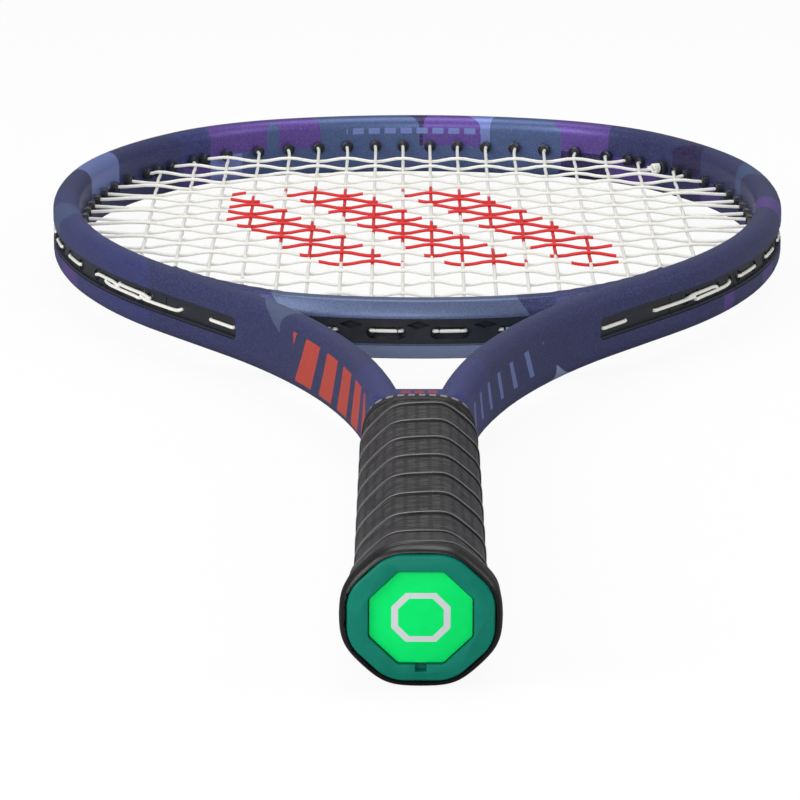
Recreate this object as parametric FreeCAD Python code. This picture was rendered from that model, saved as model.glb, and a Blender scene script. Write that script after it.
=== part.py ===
import FreeCAD, Part
import math
import os

# Strung tennis racket. The origin is the centre of the end plate's outer face, +Y runs along
# the racket to the tip of the head, and +Z stands square to the strings. Sizes are in millimetres.

Vector = FreeCAD.Vector
UP = Vector(0, 0, 1)
SIDES = (("left", -1), ("right", 1))
TINY = 1e-6

# Whole racket
LENGTH = 685.8                # end of the butt cap to the tip of the bumper guard: 27 inches

# The one tube that forms the hoop, the arms and the shafts
BEAM = 23.5                   # height of the tube, square to the strings
TUBE_WIDTH = 10.0             # width of the tube in the plane of the strings
TUBE_CORNER = 4.6             # rounding of the tube's four corners
CORNER_FLATS = 2              # flats that make up each rounded corner
FACET_TURN = 5.0              # degrees that each straight facet of a bend turns, at most

# Edge of the head opening: tangent arcs from the tip down each side to the bridge
TIP_RADIUS, TIP_TURN = 156.0, 19.6
SHOULDER_RADIUS, SHOULDER_TURN = 87.0, 34.6
SIDE_RADIUS, SIDE_TURN = 171.0, 28.0
LOWER_RADIUS, LOWER_TURN = 257.0, 42.4
THROAT_RADIUS, THROAT_TURN = 130.0, 10.0     # the arc that joins this to the lower side is fitted

# Arms and shafts: straight on from the hoop, then a curve into the handle
ARM_RADIUS = 311.0
SHAFT_SPACING = 17.4          # between the centre lines of the two shafts
SHAFT_FOOT = 16.0             # where the shafts end inside the handle
SHAFT_COVER = 1.0             # thickness of handle left over the trimmed shafts
TRIM_ABOVE = 5.0              # the shafts are trimmed to the handle's shape this far above its foam
TRIM_RUN = 10.0               # and swell to their full section over this length
YOKE_BELOW = 28.0             # the web between the shafts runs from here below the foam's top
YOKE_ABOVE = 24.0             # to here above it, the crotch of the throat
YOKE_BEAM = 22.0
YOKE_CORNER = 2.5

# Bridge that closes the head between the arms
BRIDGE_BEAM = 20.2
BRIDGE_WIDTH = 11.0
BRIDGE_CORNER = 4.0
BRIDGE_REACH = 45.0           # string holes this near its top may run through its ends

# String groove round the outside of the hoop, and the moulded strips that line it
GROOVE_DEPTH = 2.6
GROOVE_HEIGHT = 7.6
STRIP_CLEARANCE = 0.1         # between a strip and the groove round it
STRIP_BASE = 1.2              # thickness of a strip under the string
STRIP_RAIL = 0.8              # thickness of the two edges that keep the string in
RAIL_RISE = 1.0               # height of those edges over the base
STRIP_GAP = 0.4               # between the ends of neighbouring strips
STRIP_END = 2.9               # from the last hole to the end of the groove
GUARD_PROUD = 1.0             # the bumper guard stands this far proud of the hoop
GUARD_HEIGHT = 15.0
CORNER_STRIP_HOLES = 3        # holes in the strip beside the bridge, from the throat upwards
LOWER_STRIP_HOLES = 4         # holes in the next strip
SIDE_STRIP_HOLES = 11         # holes in the strip along the side of the hoop

# Grommet barrels, which line the string holes
BARREL_ACROSS = 4.6           # across the corners
BARREL_STAND = 2.5            # how far a barrel stands into the head
TIE_BARREL_ACROSS = 6.8       # the larger barrels that also take a tied string end
HOLE_CLEARANCE = 0.1          # between a barrel and the hole round it
BARREL_FACES = 4

# Throat strip on the handle side of the bridge
THROAT_STRIP_HEIGHT = 8.2
THROAT_STRIP_THICK = 2.0
THROAT_STRIP_REACH = 46.0     # half its length, across the racket
SLOT_LENGTH = 14.0            # each slot shows the loop between two main strings
SLOT_HEIGHT = 4.0
SLOT_DEPTH = 1.5
SLOT_FLATS = 3                # flats that make up each rounded end of a slot
NOTCH_WIDTH = 8.0             # diamond recesses between the slots
NOTCH_HEIGHT = 3.0
NOTCH_OFFSET = 2.2            # how far they lie above the slots' centre line

# Strings
STRING_WIDTH = 1.14           # side of a square with the section of a 1.28 mm round string
STRING_CLEARANCE = 0.05       # between a string and a barrel's bore
STRING_LIFT = 0.15            # between a loop and the strip that it lies on
WEAVE_CLEARANCE = 0.2         # between a cross string and the main strings it passes
MAIN_COUNT = 18
CROSS_COUNT = 19
TIP_PITCH = 11.2              # spacing of the main strings at the tip, at the centre line
TIP_SPREAD = 0.135            # and its growth outwards
THROAT_PITCH = 10.3           # the same at the throat
THROAT_SPREAD = 0.19
TIP_CROSS_GAP = 32.1          # from the tip end of the opening to the first cross string
THROAT_CROSS_GAP = 44.7       # from the throat end of the opening to the last one
CROSS_SPREAD = 0.161          # how much wider the crosses are spaced towards both ends
CROSS_LEAN = 0.0435           # and more towards the throat
BRIDGE_MAINS = 8              # main strings that pass through the bridge
CORNER_LEANS = (-0.15, 0.28, 0.69)    # how far the next three holes lean along their strings
SIDE_TIP_ENDS = (0.29, 1.53)          # the last two mains on each side end between two crosses,
SIDE_THROAT_ENDS = (17.75, 16.47)     # counted from the first cross
EDGE_MARGIN = 1.5             # a cross string weaves no nearer than this to its ends
LOOP_SINK = 0.6               # of the loops' centre line below the throat strip's face
LANE_OFFSET = 1.5             # mains and crosses keep to the two sides of the groove
LANE_RUN = 3.0                # length over which a string moves over to its side
LOOP_STEP = 7.0               # longest straight piece of a loop in the groove
TIE_OFFSET = 1.35             # of a tied end beside the string that shares its hole
KNOT_ACROSS = 4.4
KNOT_LENGTH = 3.0

# Handle: an octagon everywhere, from the butt cap to the top of the grip
HANDLE_WIDTH = 29.9
HANDLE_HEIGHT = 25.6
HANDLE_FOOT = 10.0
ARMS_IN_HANDLE = 13.0         # the arms begin to part this far below the top of the foam
TOP_FLAT_SHARE = 0.44         # top and bottom flats, as a share of the width
SIDE_FLAT_SHARE = 0.41        # side flats, as a share of the height

# Butt cap, pushed over the end of the handle
CAP_FACE_GROWTH = 7.8         # how much wider than the handle its end face is
CAP_FLARE_GROWTH = 8.2        # and its widest place
CAP_FLARE_AT = 4.0
CAP_NECK_GROWTH = 1.2         # at the thin skirt round the handle
CAP_NECK_AT = 27.0
CAP_SKIRT_GROWTH = 0.6
CAP_TOP = 35.0
CAP_FLOOR = 9.0               # the handle's end rests here
PLATE_WIDTH = 26.3            # the snap-in end plate
PLATE_HEIGHT = 24.0
PLATE_THICK = 2.0
PLATE_RECESS = 1.0            # how deep its outer face lies in the cap's end face
PLATE_CLEARANCE = 0.3
PLATE_SEAT = 2.2              # width of the ledge that it rests on
TAB_WIDTH = 9.0
TAB_THICK = 1.2
TAB_LENGTH = 5.0
PRY_WIDTH = 2.9               # notch for prising the plate out
PRY_HEIGHT = 2.2
PRY_DEPTH = 2.6

# Staples that hold the cap to the handle, one above and one below
STAPLE_WIDTH = 8.0
STAPLE_LEG = 4.0
STAPLE_WIRE = 0.6
STAPLE_AT = 30.0

# Grip: one strip wound round the handle, and the tape that finishes it
GRIP_THICK = 1.8
GRIP_CLEARANCE = 0.1
GRIP_START = -0.6             # nearly level with the cap's end face
GRIP_ABOVE = 3.0              # the grip runs on this far above the foam
GRIP_PITCH = 20.0             # from one turn to the next
GRIP_SEAM = 0.5               # gap between neighbouring turns
TAPE_WIDTH = 12.0
TAPE_THICK = 0.2
TAPE_CLEARANCE = 0.05

BUTT_FACE = -PLATE_RECESS
HALF_TUBE = TUBE_WIDTH / 2
TIP_EDGE = BUTT_FACE + LENGTH - GUARD_PROUD - TUBE_WIDTH
FLOOR_OFFSET = HALF_TUBE - GROOVE_DEPTH
BASE_TOP = FLOOR_OFFSET + STRIP_CLEARANCE + STRIP_BASE
STRING_OFFSET = BASE_TOP + STRING_WIDTH / 2 + STRING_LIFT
WEAVE = STRING_WIDTH + WEAVE_CLEARANCE


# ---- Outline of the head and centre lines of the tube and the bridge ----

def moved(point, along, bend, distance):
    """Point and direction after following an arc that turns right by bend radians per mm."""
    if bend == 0:
        return point + along * distance, along
    turn = bend * distance
    cosine, sine = math.cos(turn), math.sin(turn)
    onward = Vector(along.x * cosine + along.y * sine, along.y * cosine - along.x * sine, 0)
    centre = point + Vector(along.y, -along.x, 0) / bend
    return centre + Vector(-onward.y, onward.x, 0) / bend, onward


class Path:
    """Symmetrical line of arcs and straights, given by its right half.

    Each arc is divided into short straight facets. A place is the distance from the middle,
    negative on the left side. Offsets count to the left of the way from the middle outwards,
    or to the right if side is -1.
    """

    def __init__(self, start, pieces, side=1):
        self.facets = []
        self.side = side
        place, point, along = 0.0, start, Vector(1, 0, 0)
        for bend, length in pieces:
            count = max(1, math.ceil(math.degrees(abs(bend) * length) / FACET_TURN))
            for _ in range(count):
                self.facets.append((place, point, along, bend))
                point, along = moved(point, along, bend, length / count)
                place += length / count
        self.length = place
        self.end = point

    def heading(self, index):
        """Direction of a straight facet."""
        last = index == len(self.facets) - 1
        end = self.end if last else self.facets[index + 1][1]
        return (end - self.facets[index][1]).normalize()

    def index(self, place):
        """Number of the facet that holds a place on the right half."""
        return max(index for index, facet in enumerate(self.facets) if facet[0] < place + TINY)

    def at(self, place):
        """Point at a place, and the outward direction of the arc there."""
        index = self.index(abs(place))
        first, start, along, bend = self.facets[index]
        heading = self.heading(index)
        onward, turned = moved(start, along, bend, abs(place) - first)
        point = start + heading * (onward - start).dot(heading)
        outward = Vector(-turned.y, turned.x, 0) * self.side
        if place < 0:
            return Vector(-point.x, point.y, 0), Vector(-outward.x, outward.y, 0)
        return point, outward

    def station(self, place, offset, height=0.0):
        """Point beside a place, moved outwards from the facets and up."""
        index = self.index(abs(place))
        heading = self.heading(index)
        before = heading
        if abs(place) - self.facets[index][0] < TINY:
            before = self.heading(index - 1) if index else Vector(heading.x, -heading.y, 0)
        mitre = (before + heading).normalize()
        outward = Vector(-mitre.y, mitre.x, 0) * (self.side / mitre.dot(heading))
        point = self.at(abs(place))[0] + outward * offset
        return Vector(math.copysign(1, place) * point.x, point.y, height)

    def breaks(self, first, last):
        """Places from first to last where one facet gives way to the next."""
        joints = [facet[0] for facet in self.facets]
        joints += [-joint for joint in joints[1:]]
        inside = [joint for joint in joints if first + TINY < joint < last - TINY]
        return [first] + sorted(inside) + [last]

    def where(self, value, low, high):
        """Place between two others where a value that falls along the way reaches nought."""
        for _ in range(50):
            middle = (low + high) / 2
            if value(self.at(middle)) > 0:
                low = middle
            else:
                high = middle
        return low


def arc(radius, degrees):
    """Piece of a path that turns right, or left where the radius is negative."""
    return 1 / radius, abs(radius) * math.radians(degrees)


def head_arcs(offset):
    """Arcs of the tip, shoulder, side and lower side, outside the opening's edge by an offset."""
    return [
        arc(TIP_RADIUS + offset, TIP_TURN), arc(SHOULDER_RADIUS + offset, SHOULDER_TURN),
        arc(SIDE_RADIUS + offset, SIDE_TURN), arc(LOWER_RADIUS + offset, LOWER_TURN),
    ]


HOOP_TURN = TIP_TURN + SHOULDER_TURN + SIDE_TURN + LOWER_TURN
CORNER_TURN = 180 - HOOP_TURN - THROAT_TURN


def corner_radius():
    """Radius of the arc that joins the lower side to the throat."""
    start = Path(Vector(0, TIP_EDGE, 0), head_arcs(0)).end
    end_x = THROAT_RADIUS * math.sin(math.radians(THROAT_TURN))
    run = math.sin(math.radians(HOOP_TURN)) - math.sin(math.radians(THROAT_TURN))
    return (start.x - end_x) / run


CORNER_RADIUS = corner_radius()
THROAT_ARCS = [arc(CORNER_RADIUS, CORNER_TURN), arc(THROAT_RADIUS, THROAT_TURN)]
EDGE = Path(Vector(0, TIP_EDGE, 0), head_arcs(0) + THROAT_ARCS)
THROAT_EDGE = EDGE.end.y
WIDEST_PLACE = EDGE.where(lambda spot: spot[1].y, 0, EDGE.length)


def across_tip(x):
    """The head's edge and its outward direction at a place across the tip side."""
    reach = EDGE.where(lambda spot: abs(x) - spot[0].x, 0, WIDEST_PLACE)
    return EDGE.at(math.copysign(reach, x))


def across_throat(x):
    reach = EDGE.where(lambda spot: spot[0].x - abs(x), WIDEST_PLACE, EDGE.length)
    return EDGE.at(math.copysign(reach, x))


def along_side(y, side):
    """The head's edge and its outward direction at a place along the racket, on one side."""
    return EDGE.at(side * EDGE.where(lambda spot: spot[0].y - y, 0, EDGE.length))


def hairpin_path():
    """Centre line of the tube, from the tip round the hoop and down the arms and shafts."""
    hoop = head_arcs(HALF_TUBE)
    start = Vector(0, TIP_EDGE + HALF_TUBE, 0)
    leave = Path(start, hoop).end
    slant = math.radians(HOOP_TURN - 90)
    inward = leave.x - SHAFT_SPACING / 2 - ARM_RADIUS * (1 - math.cos(slant))
    straight = inward / math.sin(slant)
    arm = [(0, straight), arc(-ARM_RADIUS, HOOP_TURN - 90)]
    shaft_top = Path(start, hoop + arm).end
    return Path(start, hoop + arm + [(0, shaft_top.y - SHAFT_FOOT)])


def bridge_path():
    """Centre line of the bridge, which carries the head's outline on between the arms."""
    half = BRIDGE_WIDTH / 2
    pieces = [arc(-THROAT_RADIUS - half, THROAT_TURN), arc(-CORNER_RADIUS - half, CORNER_TURN)]
    return Path(Vector(0, THROAT_EDGE - half, 0), pieces, side=-1)


HAIRPIN = hairpin_path()
BRIDGE = bridge_path()
ARMS_PART = HAIRPIN.facets[-1][1].y
HANDLE_TOP = ARMS_PART + ARMS_IN_HANDLE
GRIP_END = HANDLE_TOP + GRIP_ABOVE


def hoop_place(point):
    """Place on the tube's centre line beside a point near it."""
    def behind(spot):
        along = Vector(spot[1].y, -spot[1].x, 0)
        return (Vector(abs(point.x), point.y, 0) - spot[0]).dot(along)
    return math.copysign(HAIRPIN.where(behind, 0, HAIRPIN.length), point.x)


# ---- Shapes that the pieces share ----

def closed_wire(points):
    return Part.makePolygon(points + points[:1])


def rounded_profile(low, high, half_height, radius):
    """Corners of a rectangle from low to high across, each corner rounded in short flats."""
    corners = (
        (high - radius, half_height - radius, 0), (low + radius, half_height - radius, 90),
        (low + radius, radius - half_height, 180), (high - radius, radius - half_height, 270),
    )
    points = []
    for x, y, start in corners:
        for step in range(CORNER_FLATS + 1):
            angle = math.radians(start + 90 * step / CORNER_FLATS)
            points.append((x + radius * math.cos(angle), y + radius * math.sin(angle)))
    return points


def rectangle(low, high, half_height):
    return [(low, -half_height), (high, -half_height), (high, half_height), (low, half_height)]


def swept(path, first, last, profile):
    """Solid of a profile, given as (outwards, up) corners, carried along part of a path."""
    return ringed_solid([[path.station(place, *corner) for corner in profile]
                         for place in path.breaks(first, last)])


def prism(start, end, across, faces):
    """Straight rod of regular section, measured across its corners."""
    along = end - start
    side = UP.cross(along).normalize()
    lift = along.cross(side).normalize()
    corners = []
    for face in range(faces):
        angle = math.tau * (face + 0.5) / faces
        corners.append(start + (side * math.cos(angle) + lift * math.sin(angle)) * (across / 2))
    return Part.Face(closed_wire(corners)).extrude(along)


def square_rod(start, end, width, height, lift=0.0):
    """Straight rod of rectangular section, its centre raised by lift."""
    along = end - start
    side = UP.cross(along).normalize() * (width / 2)
    low = UP * (lift - height / 2)
    high = UP * (lift + height / 2)
    corners = [start + side + low, start - side + low, start - side + high, start + side + high]
    return Part.Face(closed_wire(corners)).extrude(along)


def flat_faces(quad):
    """One face, or two triangles where the four corners don't lie in a plane."""
    one, two, three, four = quad
    if abs((two - one).cross(four - one).normalize().dot(three - one)) < 1e-6:
        return [Part.Face(closed_wire(quad))]
    return [Part.Face(closed_wire([one, two, three])), Part.Face(closed_wire([one, three, four]))]


def ringed_solid(rings):
    """Flat-sided solid through rings of corners, all with the same number of corners."""
    faces = [Part.Face(closed_wire(rings[0])), Part.Face(closed_wire(rings[-1]))]
    count = len(rings[0])
    for near, far in zip(rings, rings[1:]):
        for corner in range(count):
            after = (corner + 1) % count
            faces += flat_faces([near[corner], near[after], far[after], far[corner]])
    solid = Part.Solid(Part.Shell(faces))
    if solid.Volume < 0:
        solid.reverse()
    return solid


def octagon(width, height, y):
    """Corners of an octagon across the racket, the section of every part of the handle."""
    flat_x = width * TOP_FLAT_SHARE / 2
    flat_z = height * SIDE_FLAT_SHARE / 2
    half_x, half_z = width / 2, height / 2
    return [
        Vector(flat_x, y, half_z), Vector(half_x, y, flat_z),
        Vector(half_x, y, -flat_z), Vector(flat_x, y, -half_z),
        Vector(-flat_x, y, -half_z), Vector(-half_x, y, -flat_z),
        Vector(-half_x, y, flat_z), Vector(-flat_x, y, half_z),
    ]


def octagon_solid(stations):
    """Flat-sided solid through octagons, each given as place along, width and height."""
    return ringed_solid([octagon(width, height, y) for y, width, height in stations])


def box(low, high):
    size = high - low
    return Part.makeBox(size.x, size.y, size.z, low)


# ---- String pattern and the holes it needs ----

class Hole:
    """A string hole through the hoop or the bridge, from the head opening outwards."""

    def __init__(self, entry, direction, through_bridge=False):
        self.entry = entry
        self.direction = direction
        self.through_bridge = through_bridge
        self.takes_tie = False
        self.mouth = entry - direction * BARREL_STAND
        if through_bridge:
            across = BRIDGE_WIDTH / abs(direction.y)
            self.place = 0.0
            self.exit = entry + direction * (across - LOOP_SINK)
            self.floor = entry + direction * across
        else:
            self.exit = self.leaves_at(STRING_OFFSET)
            self.floor = self.leaves_at(FLOOR_OFFSET)
            self.place = hoop_place(self.exit)

    def leaves_at(self, offset):
        """Place where the hole's line reaches an offset outside the tube's centre line."""
        near, far = 0.0, 5 * TUBE_WIDTH
        for _ in range(40):
            middle = (near + far) / 2
            point = self.entry + self.direction * middle
            spot, outward = HAIRPIN.at(hoop_place(point))
            if (point - spot).dot(outward) < offset:
                near = middle
            else:
                far = middle
        return self.entry + self.direction * near


def cross_height(index):
    """Place along the racket of a cross string counted from the tip, or between two of them."""
    step = 2 * index / (CROSS_COUNT - 1) - 1
    share = (1 + step * (1 - CROSS_SPREAD) + CROSS_SPREAD * step ** 3 + CROSS_LEAN * (step ** 2 - 1)) / 2
    span = TIP_EDGE - TIP_CROSS_GAP - THROAT_EDGE - THROAT_CROSS_GAP
    return TIP_EDGE - TIP_CROSS_GAP - span * share


def cross_holes():
    """Left hole and right hole of every cross string, from the tip down."""
    return [tuple(Hole(*along_side(cross_height(index), side)) for _, side in SIDES)
            for index in range(CROSS_COUNT)]


def main_holes():
    """Tip hole and throat hole of every main string, from left to right."""
    holes = []
    for index in range(MAIN_COUNT):
        step = index - (MAIN_COUNT - 1) / 2
        side = math.copysign(1, step)
        rank = int(abs(step) - BRIDGE_MAINS / 2)
        side_rank = rank - len(CORNER_LEANS)
        if side_rank >= 0:
            tip = Hole(*along_side(cross_height(SIDE_TIP_ENDS[side_rank]), side))
            throat = Hole(*along_side(cross_height(SIDE_THROAT_ENDS[side_rank]), side))
            holes.append((tip, throat))
            continue
        tip = Hole(*across_tip(step * (TIP_PITCH + TIP_SPREAD * abs(step))))
        entry, outward = across_throat(step * (THROAT_PITCH + THROAT_SPREAD * abs(step)))
        along = (entry - tip.entry).normalize()
        if abs(step) < BRIDGE_MAINS / 2:
            holes.append((tip, Hole(entry, along, True)))
        else:
            holes.append((tip, Hole(entry, (outward + along * CORNER_LEANS[rank]).normalize())))
    return holes


CROSSES = cross_holes()
MAINS = main_holes()
LAST = MAIN_COUNT - 1

# Each tied end shares the hole of the next string: mains at the throat, crosses at the sides.
MAIN_TIES = ((MAINS[0][1], MAINS[1][1]), (MAINS[LAST][1], MAINS[LAST - 1][1]))
CROSS_TIES = ((CROSSES[0][1], CROSSES[1][1]), (CROSSES[-1][0], CROSSES[-2][0]))
for _, shared in MAIN_TIES + CROSS_TIES:
    shared.takes_tie = True
CROSS_SHARED = [shared for _, shared in CROSS_TIES]

BRIDGE_HOLES = [throat for _, throat in MAINS if throat.through_bridge]
HOOP_HOLES = [tip for tip, _ in MAINS] + [throat for _, throat in MAINS if not throat.through_bridge]
HOOP_HOLES += [hole for pair in CROSSES for hole in pair]
HOOP_HOLES.sort(key=lambda hole: hole.place)
GROOVE_START = HOOP_HOLES[0].place - STRIP_END
GROOVE_END = HOOP_HOLES[-1].place + STRIP_END


def drilled(shape, holes, lead):
    """Cut the string holes, running a little past both faces."""
    rods = []
    for hole in holes:
        across = (TIE_BARREL_ACROSS if hole.takes_tie else BARREL_ACROSS) + 2 * HOLE_CLEARANCE
        start = hole.entry - hole.direction * lead
        end = hole.floor + hole.direction * GROOVE_DEPTH
        rods.append(prism(start, end, across, BARREL_FACES))
    return shape.cut(rods)


# ---- Frame ----

def tube_blank():
    """The hairpin tube before its groove and holes are cut, with the yoke between its shafts."""
    profile = rounded_profile(-HALF_TUBE, HALF_TUBE, BEAM / 2, TUBE_CORNER)
    tube = swept(HAIRPIN, -HAIRPIN.length, HAIRPIN.length, profile)
    half = SHAFT_SPACING / 2 + HALF_TUBE / 2
    foot, top = HANDLE_TOP - YOKE_BELOW, HANDLE_TOP + YOKE_ABOVE
    yoke = box(Vector(-half, foot, -YOKE_BEAM / 2), Vector(half, top, YOKE_BEAM / 2))
    rims = [edge for edge in yoke.Edges if edge.BoundBox.YMin > top - 1 and edge.BoundBox.XLength > 1]
    return tube.fuse(yoke.makeFillet(YOKE_CORNER, rims)).cut(shaft_trim())


def shaft_trim():
    """What is taken off the shafts so that they fit inside the octagonal handle."""
    width, height = HANDLE_WIDTH - 2 * SHAFT_COVER, HANDLE_HEIGHT - 2 * SHAFT_COVER
    start = HANDLE_TOP + TRIM_ABOVE
    end = start + TRIM_RUN
    core = octagon_solid([
        (0, width, height), (start, width, height), (end + 1, width + BEAM, height + BEAM)])
    return box(Vector(-BEAM, 1, -BEAM), Vector(BEAM, end, BEAM)).cut(core)


def groove():
    profile = rectangle(FLOOR_OFFSET, HALF_TUBE + GROOVE_DEPTH, GROOVE_HEIGHT / 2)
    return swept(HAIRPIN, GROOVE_START, GROOVE_END, profile)


def frame_tube(blank):
    return drilled(blank.cut(groove()), HOOP_HOLES, BRIDGE_WIDTH)


def throat_bridge(blank):
    """Bridge coped to the arms, with a recess for its strip and its string holes."""
    half = BRIDGE_WIDTH / 2
    profile = rounded_profile(-half, half, BRIDGE_BEAM / 2, BRIDGE_CORNER)
    bar = swept(BRIDGE, -BRIDGE.length, BRIDGE.length, profile)
    bar = bar.cut([blank, throat_recess(STRIP_CLEARANCE)])
    solid = max(bar.Solids, key=lambda piece: piece.Volume)
    corner_holes = [hole for hole in HOOP_HOLES if hole.entry.y < THROAT_EDGE + BRIDGE_REACH]
    return drilled(solid, BRIDGE_HOLES + corner_holes, BARREL_STAND)


# ---- Grommet strips ----

def barrel(hole):
    across = TIE_BARREL_ACROSS if hole.takes_tie else BARREL_ACROSS
    return prism(hole.mouth, hole.floor + hole.direction * STRIP_CLEARANCE * 2, across, BARREL_FACES)


def bore(hole):
    """Passage for the string, taller where a tied end shares the hole."""
    gap = 2 * STRING_CLEARANCE
    height = STRING_WIDTH + gap
    lift = 0.0
    if hole.takes_tie:
        height += TIE_OFFSET
        lift = TIE_OFFSET / 2 if hole in CROSS_SHARED else -TIE_OFFSET / 2
    start = hole.mouth - hole.direction
    end = hole.exit + hole.direction
    return square_rod(start, end, STRING_WIDTH + gap, height, lift)


def channel_profile():
    """Section of a grommet strip: a base with an edge along each side."""
    low, high = FLOOR_OFFSET + STRIP_CLEARANCE, BASE_TOP + RAIL_RISE
    outer = GROOVE_HEIGHT / 2 - STRIP_CLEARANCE * 2
    inner = outer - STRIP_RAIL
    return [
        (low, -outer), (high, -outer), (high, -inner), (BASE_TOP, -inner),
        (BASE_TOP, inner), (high, inner), (high, outer), (low, outer),
    ]


def guard_profile():
    """Section of the bumper guard: a channel whose edges fold out over the hoop."""
    low, high = FLOOR_OFFSET + STRIP_CLEARANCE, HALF_TUBE + GUARD_PROUD
    seat = HALF_TUBE + STRIP_CLEARANCE / 2
    outer = GROOVE_HEIGHT / 2 - STRIP_CLEARANCE * 2
    inner = outer - STRIP_RAIL
    wing = GUARD_HEIGHT / 2
    bevel = GUARD_PROUD / 2
    return [
        (low, -outer), (seat, -outer), (seat, -wing), (high, -wing + bevel), (high, -inner),
        (BASE_TOP, -inner), (BASE_TOP, inner), (high, inner), (high, wing - bevel), (seat, wing),
        (seat, outer), (low, outer),
    ]


def hoop_strip(first, last, profile):
    """Strip over the hoop holes numbered first to last, ending half way to its neighbours'."""
    start = GROOVE_START + STRIP_CLEARANCE
    end = GROOVE_END - STRIP_CLEARANCE
    if first > 0:
        start = (HOOP_HOLES[first - 1].place + HOOP_HOLES[first].place + STRIP_GAP) / 2
    if last < len(HOOP_HOLES) - 1:
        end = (HOOP_HOLES[last].place + HOOP_HOLES[last + 1].place - STRIP_GAP) / 2
    holes = HOOP_HOLES[first:last + 1]
    strip = swept(HAIRPIN, start, end, profile)
    strip = strip.fuse([barrel(hole) for hole in holes])
    return strip.cut([bore(hole) for hole in holes])


def hoop_strips():
    """All strips round the hoop, from the throat's left corner over the tip to its right one."""
    counts = (CORNER_STRIP_HOLES, LOWER_STRIP_HOLES, SIDE_STRIP_HOLES)
    names = ("corner_grommet_strip", "lower_grommet_strip", "side_grommet_strip")
    count = len(HOOP_HOLES)
    strips = {}
    used = 0
    for name, holes in zip(names, counts):
        strips[name + "_left"] = hoop_strip(used, used + holes - 1, channel_profile())
        last = count - 1 - used
        strips[name + "_right"] = hoop_strip(last - holes + 1, last, channel_profile())
        used += holes
    strips["bumper_guard"] = hoop_strip(used, count - 1 - used, guard_profile())
    return strips


def throat_recess(gap):
    """Space in the bridge's handle side that the throat strip fills."""
    low = BRIDGE_WIDTH / 2 - THROAT_STRIP_THICK - gap
    profile = rectangle(low, BRIDGE_WIDTH, THROAT_STRIP_HEIGHT / 2 + gap)
    reach = THROAT_STRIP_REACH + gap
    return swept(BRIDGE, -reach, reach, profile)


def throat_grommet_strip():
    """Strip on the bridge, with a slot for each string loop and a diamond between them."""
    half = BRIDGE_WIDTH / 2
    profile = rectangle(half - THROAT_STRIP_THICK, half, THROAT_STRIP_HEIGHT / 2)
    strip = swept(BRIDGE, -THROAT_STRIP_REACH, THROAT_STRIP_REACH, profile)
    strip = strip.fuse([bridge_barrel(hole) for hole in BRIDGE_HOLES])
    slots = [loop_slot(*pair) for pair in bridge_pairs()]
    notches = [diamond(x) for x in notch_places()]
    return strip.cut(slots + notches + [bore(hole) for hole in BRIDGE_HOLES])


def bridge_barrel(hole):
    end = hole.floor - hole.direction * (THROAT_STRIP_THICK / 2)
    return prism(hole.mouth, end, BARREL_ACROSS, BARREL_FACES)


def bridge_pairs():
    return [(BRIDGE_HOLES[index], BRIDGE_HOLES[index + 1]) for index in range(0, BRIDGE_MAINS, 2)]


def loop_slot(left, right):
    """Slot over a pair of holes in the throat strip, each end rounded in short flats."""
    chord = (right.floor - left.floor).normalize()
    outward = Vector(chord.y, -chord.x, 0)
    radius = SLOT_HEIGHT / 2
    start = (left.floor + right.floor) * 0.5 - outward * SLOT_DEPTH
    run = chord * (SLOT_LENGTH / 2 - radius)
    corners = []
    for way in (1, -1):
        for step in range(SLOT_FLATS + 1):
            angle = math.radians(180 * step / SLOT_FLATS - 90)
            round_end = chord * math.cos(angle) + UP * math.sin(angle)
            corners.append(start + (run + round_end * radius) * way)
    return Part.Face(closed_wire(corners)).extrude(outward * 2 * SLOT_DEPTH)


def notch_places():
    """Across the racket: the centre line and half way between neighbouring slots."""
    middles = [(left.floor.x + right.floor.x) / 2 for left, right in bridge_pairs()]
    return [(one + two) / 2 for one, two in zip(middles, middles[1:])]


def diamond(x):
    y = THROAT_EDGE - BRIDGE_WIDTH
    corners = [
        Vector(x - NOTCH_WIDTH / 2, y, NOTCH_OFFSET), Vector(x, y, NOTCH_OFFSET - NOTCH_HEIGHT / 2),
        Vector(x + NOTCH_WIDTH / 2, y, NOTCH_OFFSET), Vector(x, y, NOTCH_OFFSET + NOTCH_HEIGHT / 2),
    ]
    block = Part.Face(closed_wire(corners)).extrude(Vector(0, 2 * SLOT_DEPTH, 0))
    return block.translated(Vector(0, -SLOT_DEPTH / 2, 0))


# ---- Strings ----

def corners_across(along):
    """Corners of the string's square section, its sides level and upright."""
    side = UP.cross(along).normalize() * (STRING_WIDTH / 2)
    lift = along.cross(side).normalize() * (STRING_WIDTH / 2)
    return [side + lift, lift - side, -side - lift, side - lift]


def ring_at(point, before, after):
    """Section where two straight runs meet, half way between what each of them asks for."""
    mitre = (before + after).normalize()
    ring = []
    for near, far in zip(corners_across(before), corners_across(after)):
        first = near - before * (near.dot(mitre) / before.dot(mitre))
        second = far - after * (far.dot(mitre) / after.dot(mitre))
        ring.append(point + (first + second) * 0.5)
    return ring


def string_solid(route):
    """Square string along straight runs, mitred at every bend."""
    runs = [(after - before).normalize() for before, after in zip(route, route[1:])]
    runs = runs[:1] + runs + runs[-1:]
    return ringed_solid([ring_at(point, runs[index], runs[index + 1]) for index, point in enumerate(route)])


def groove_run(first, last, lane):
    """Points of a string that lies in the groove from one hole to the next."""
    way = 1 if last.place > first.place else -1
    start = first.place + way * LANE_RUN
    length = abs(last.place - first.place) - 2 * LANE_RUN
    count = max(1, math.ceil(length / LOOP_STEP))
    points = [first.exit]
    for step in range(count + 1):
        place = start + way * length * step / count
        points.append(HAIRPIN.station(place, STRING_OFFSET, lane))
    return points + [last.exit]


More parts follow.
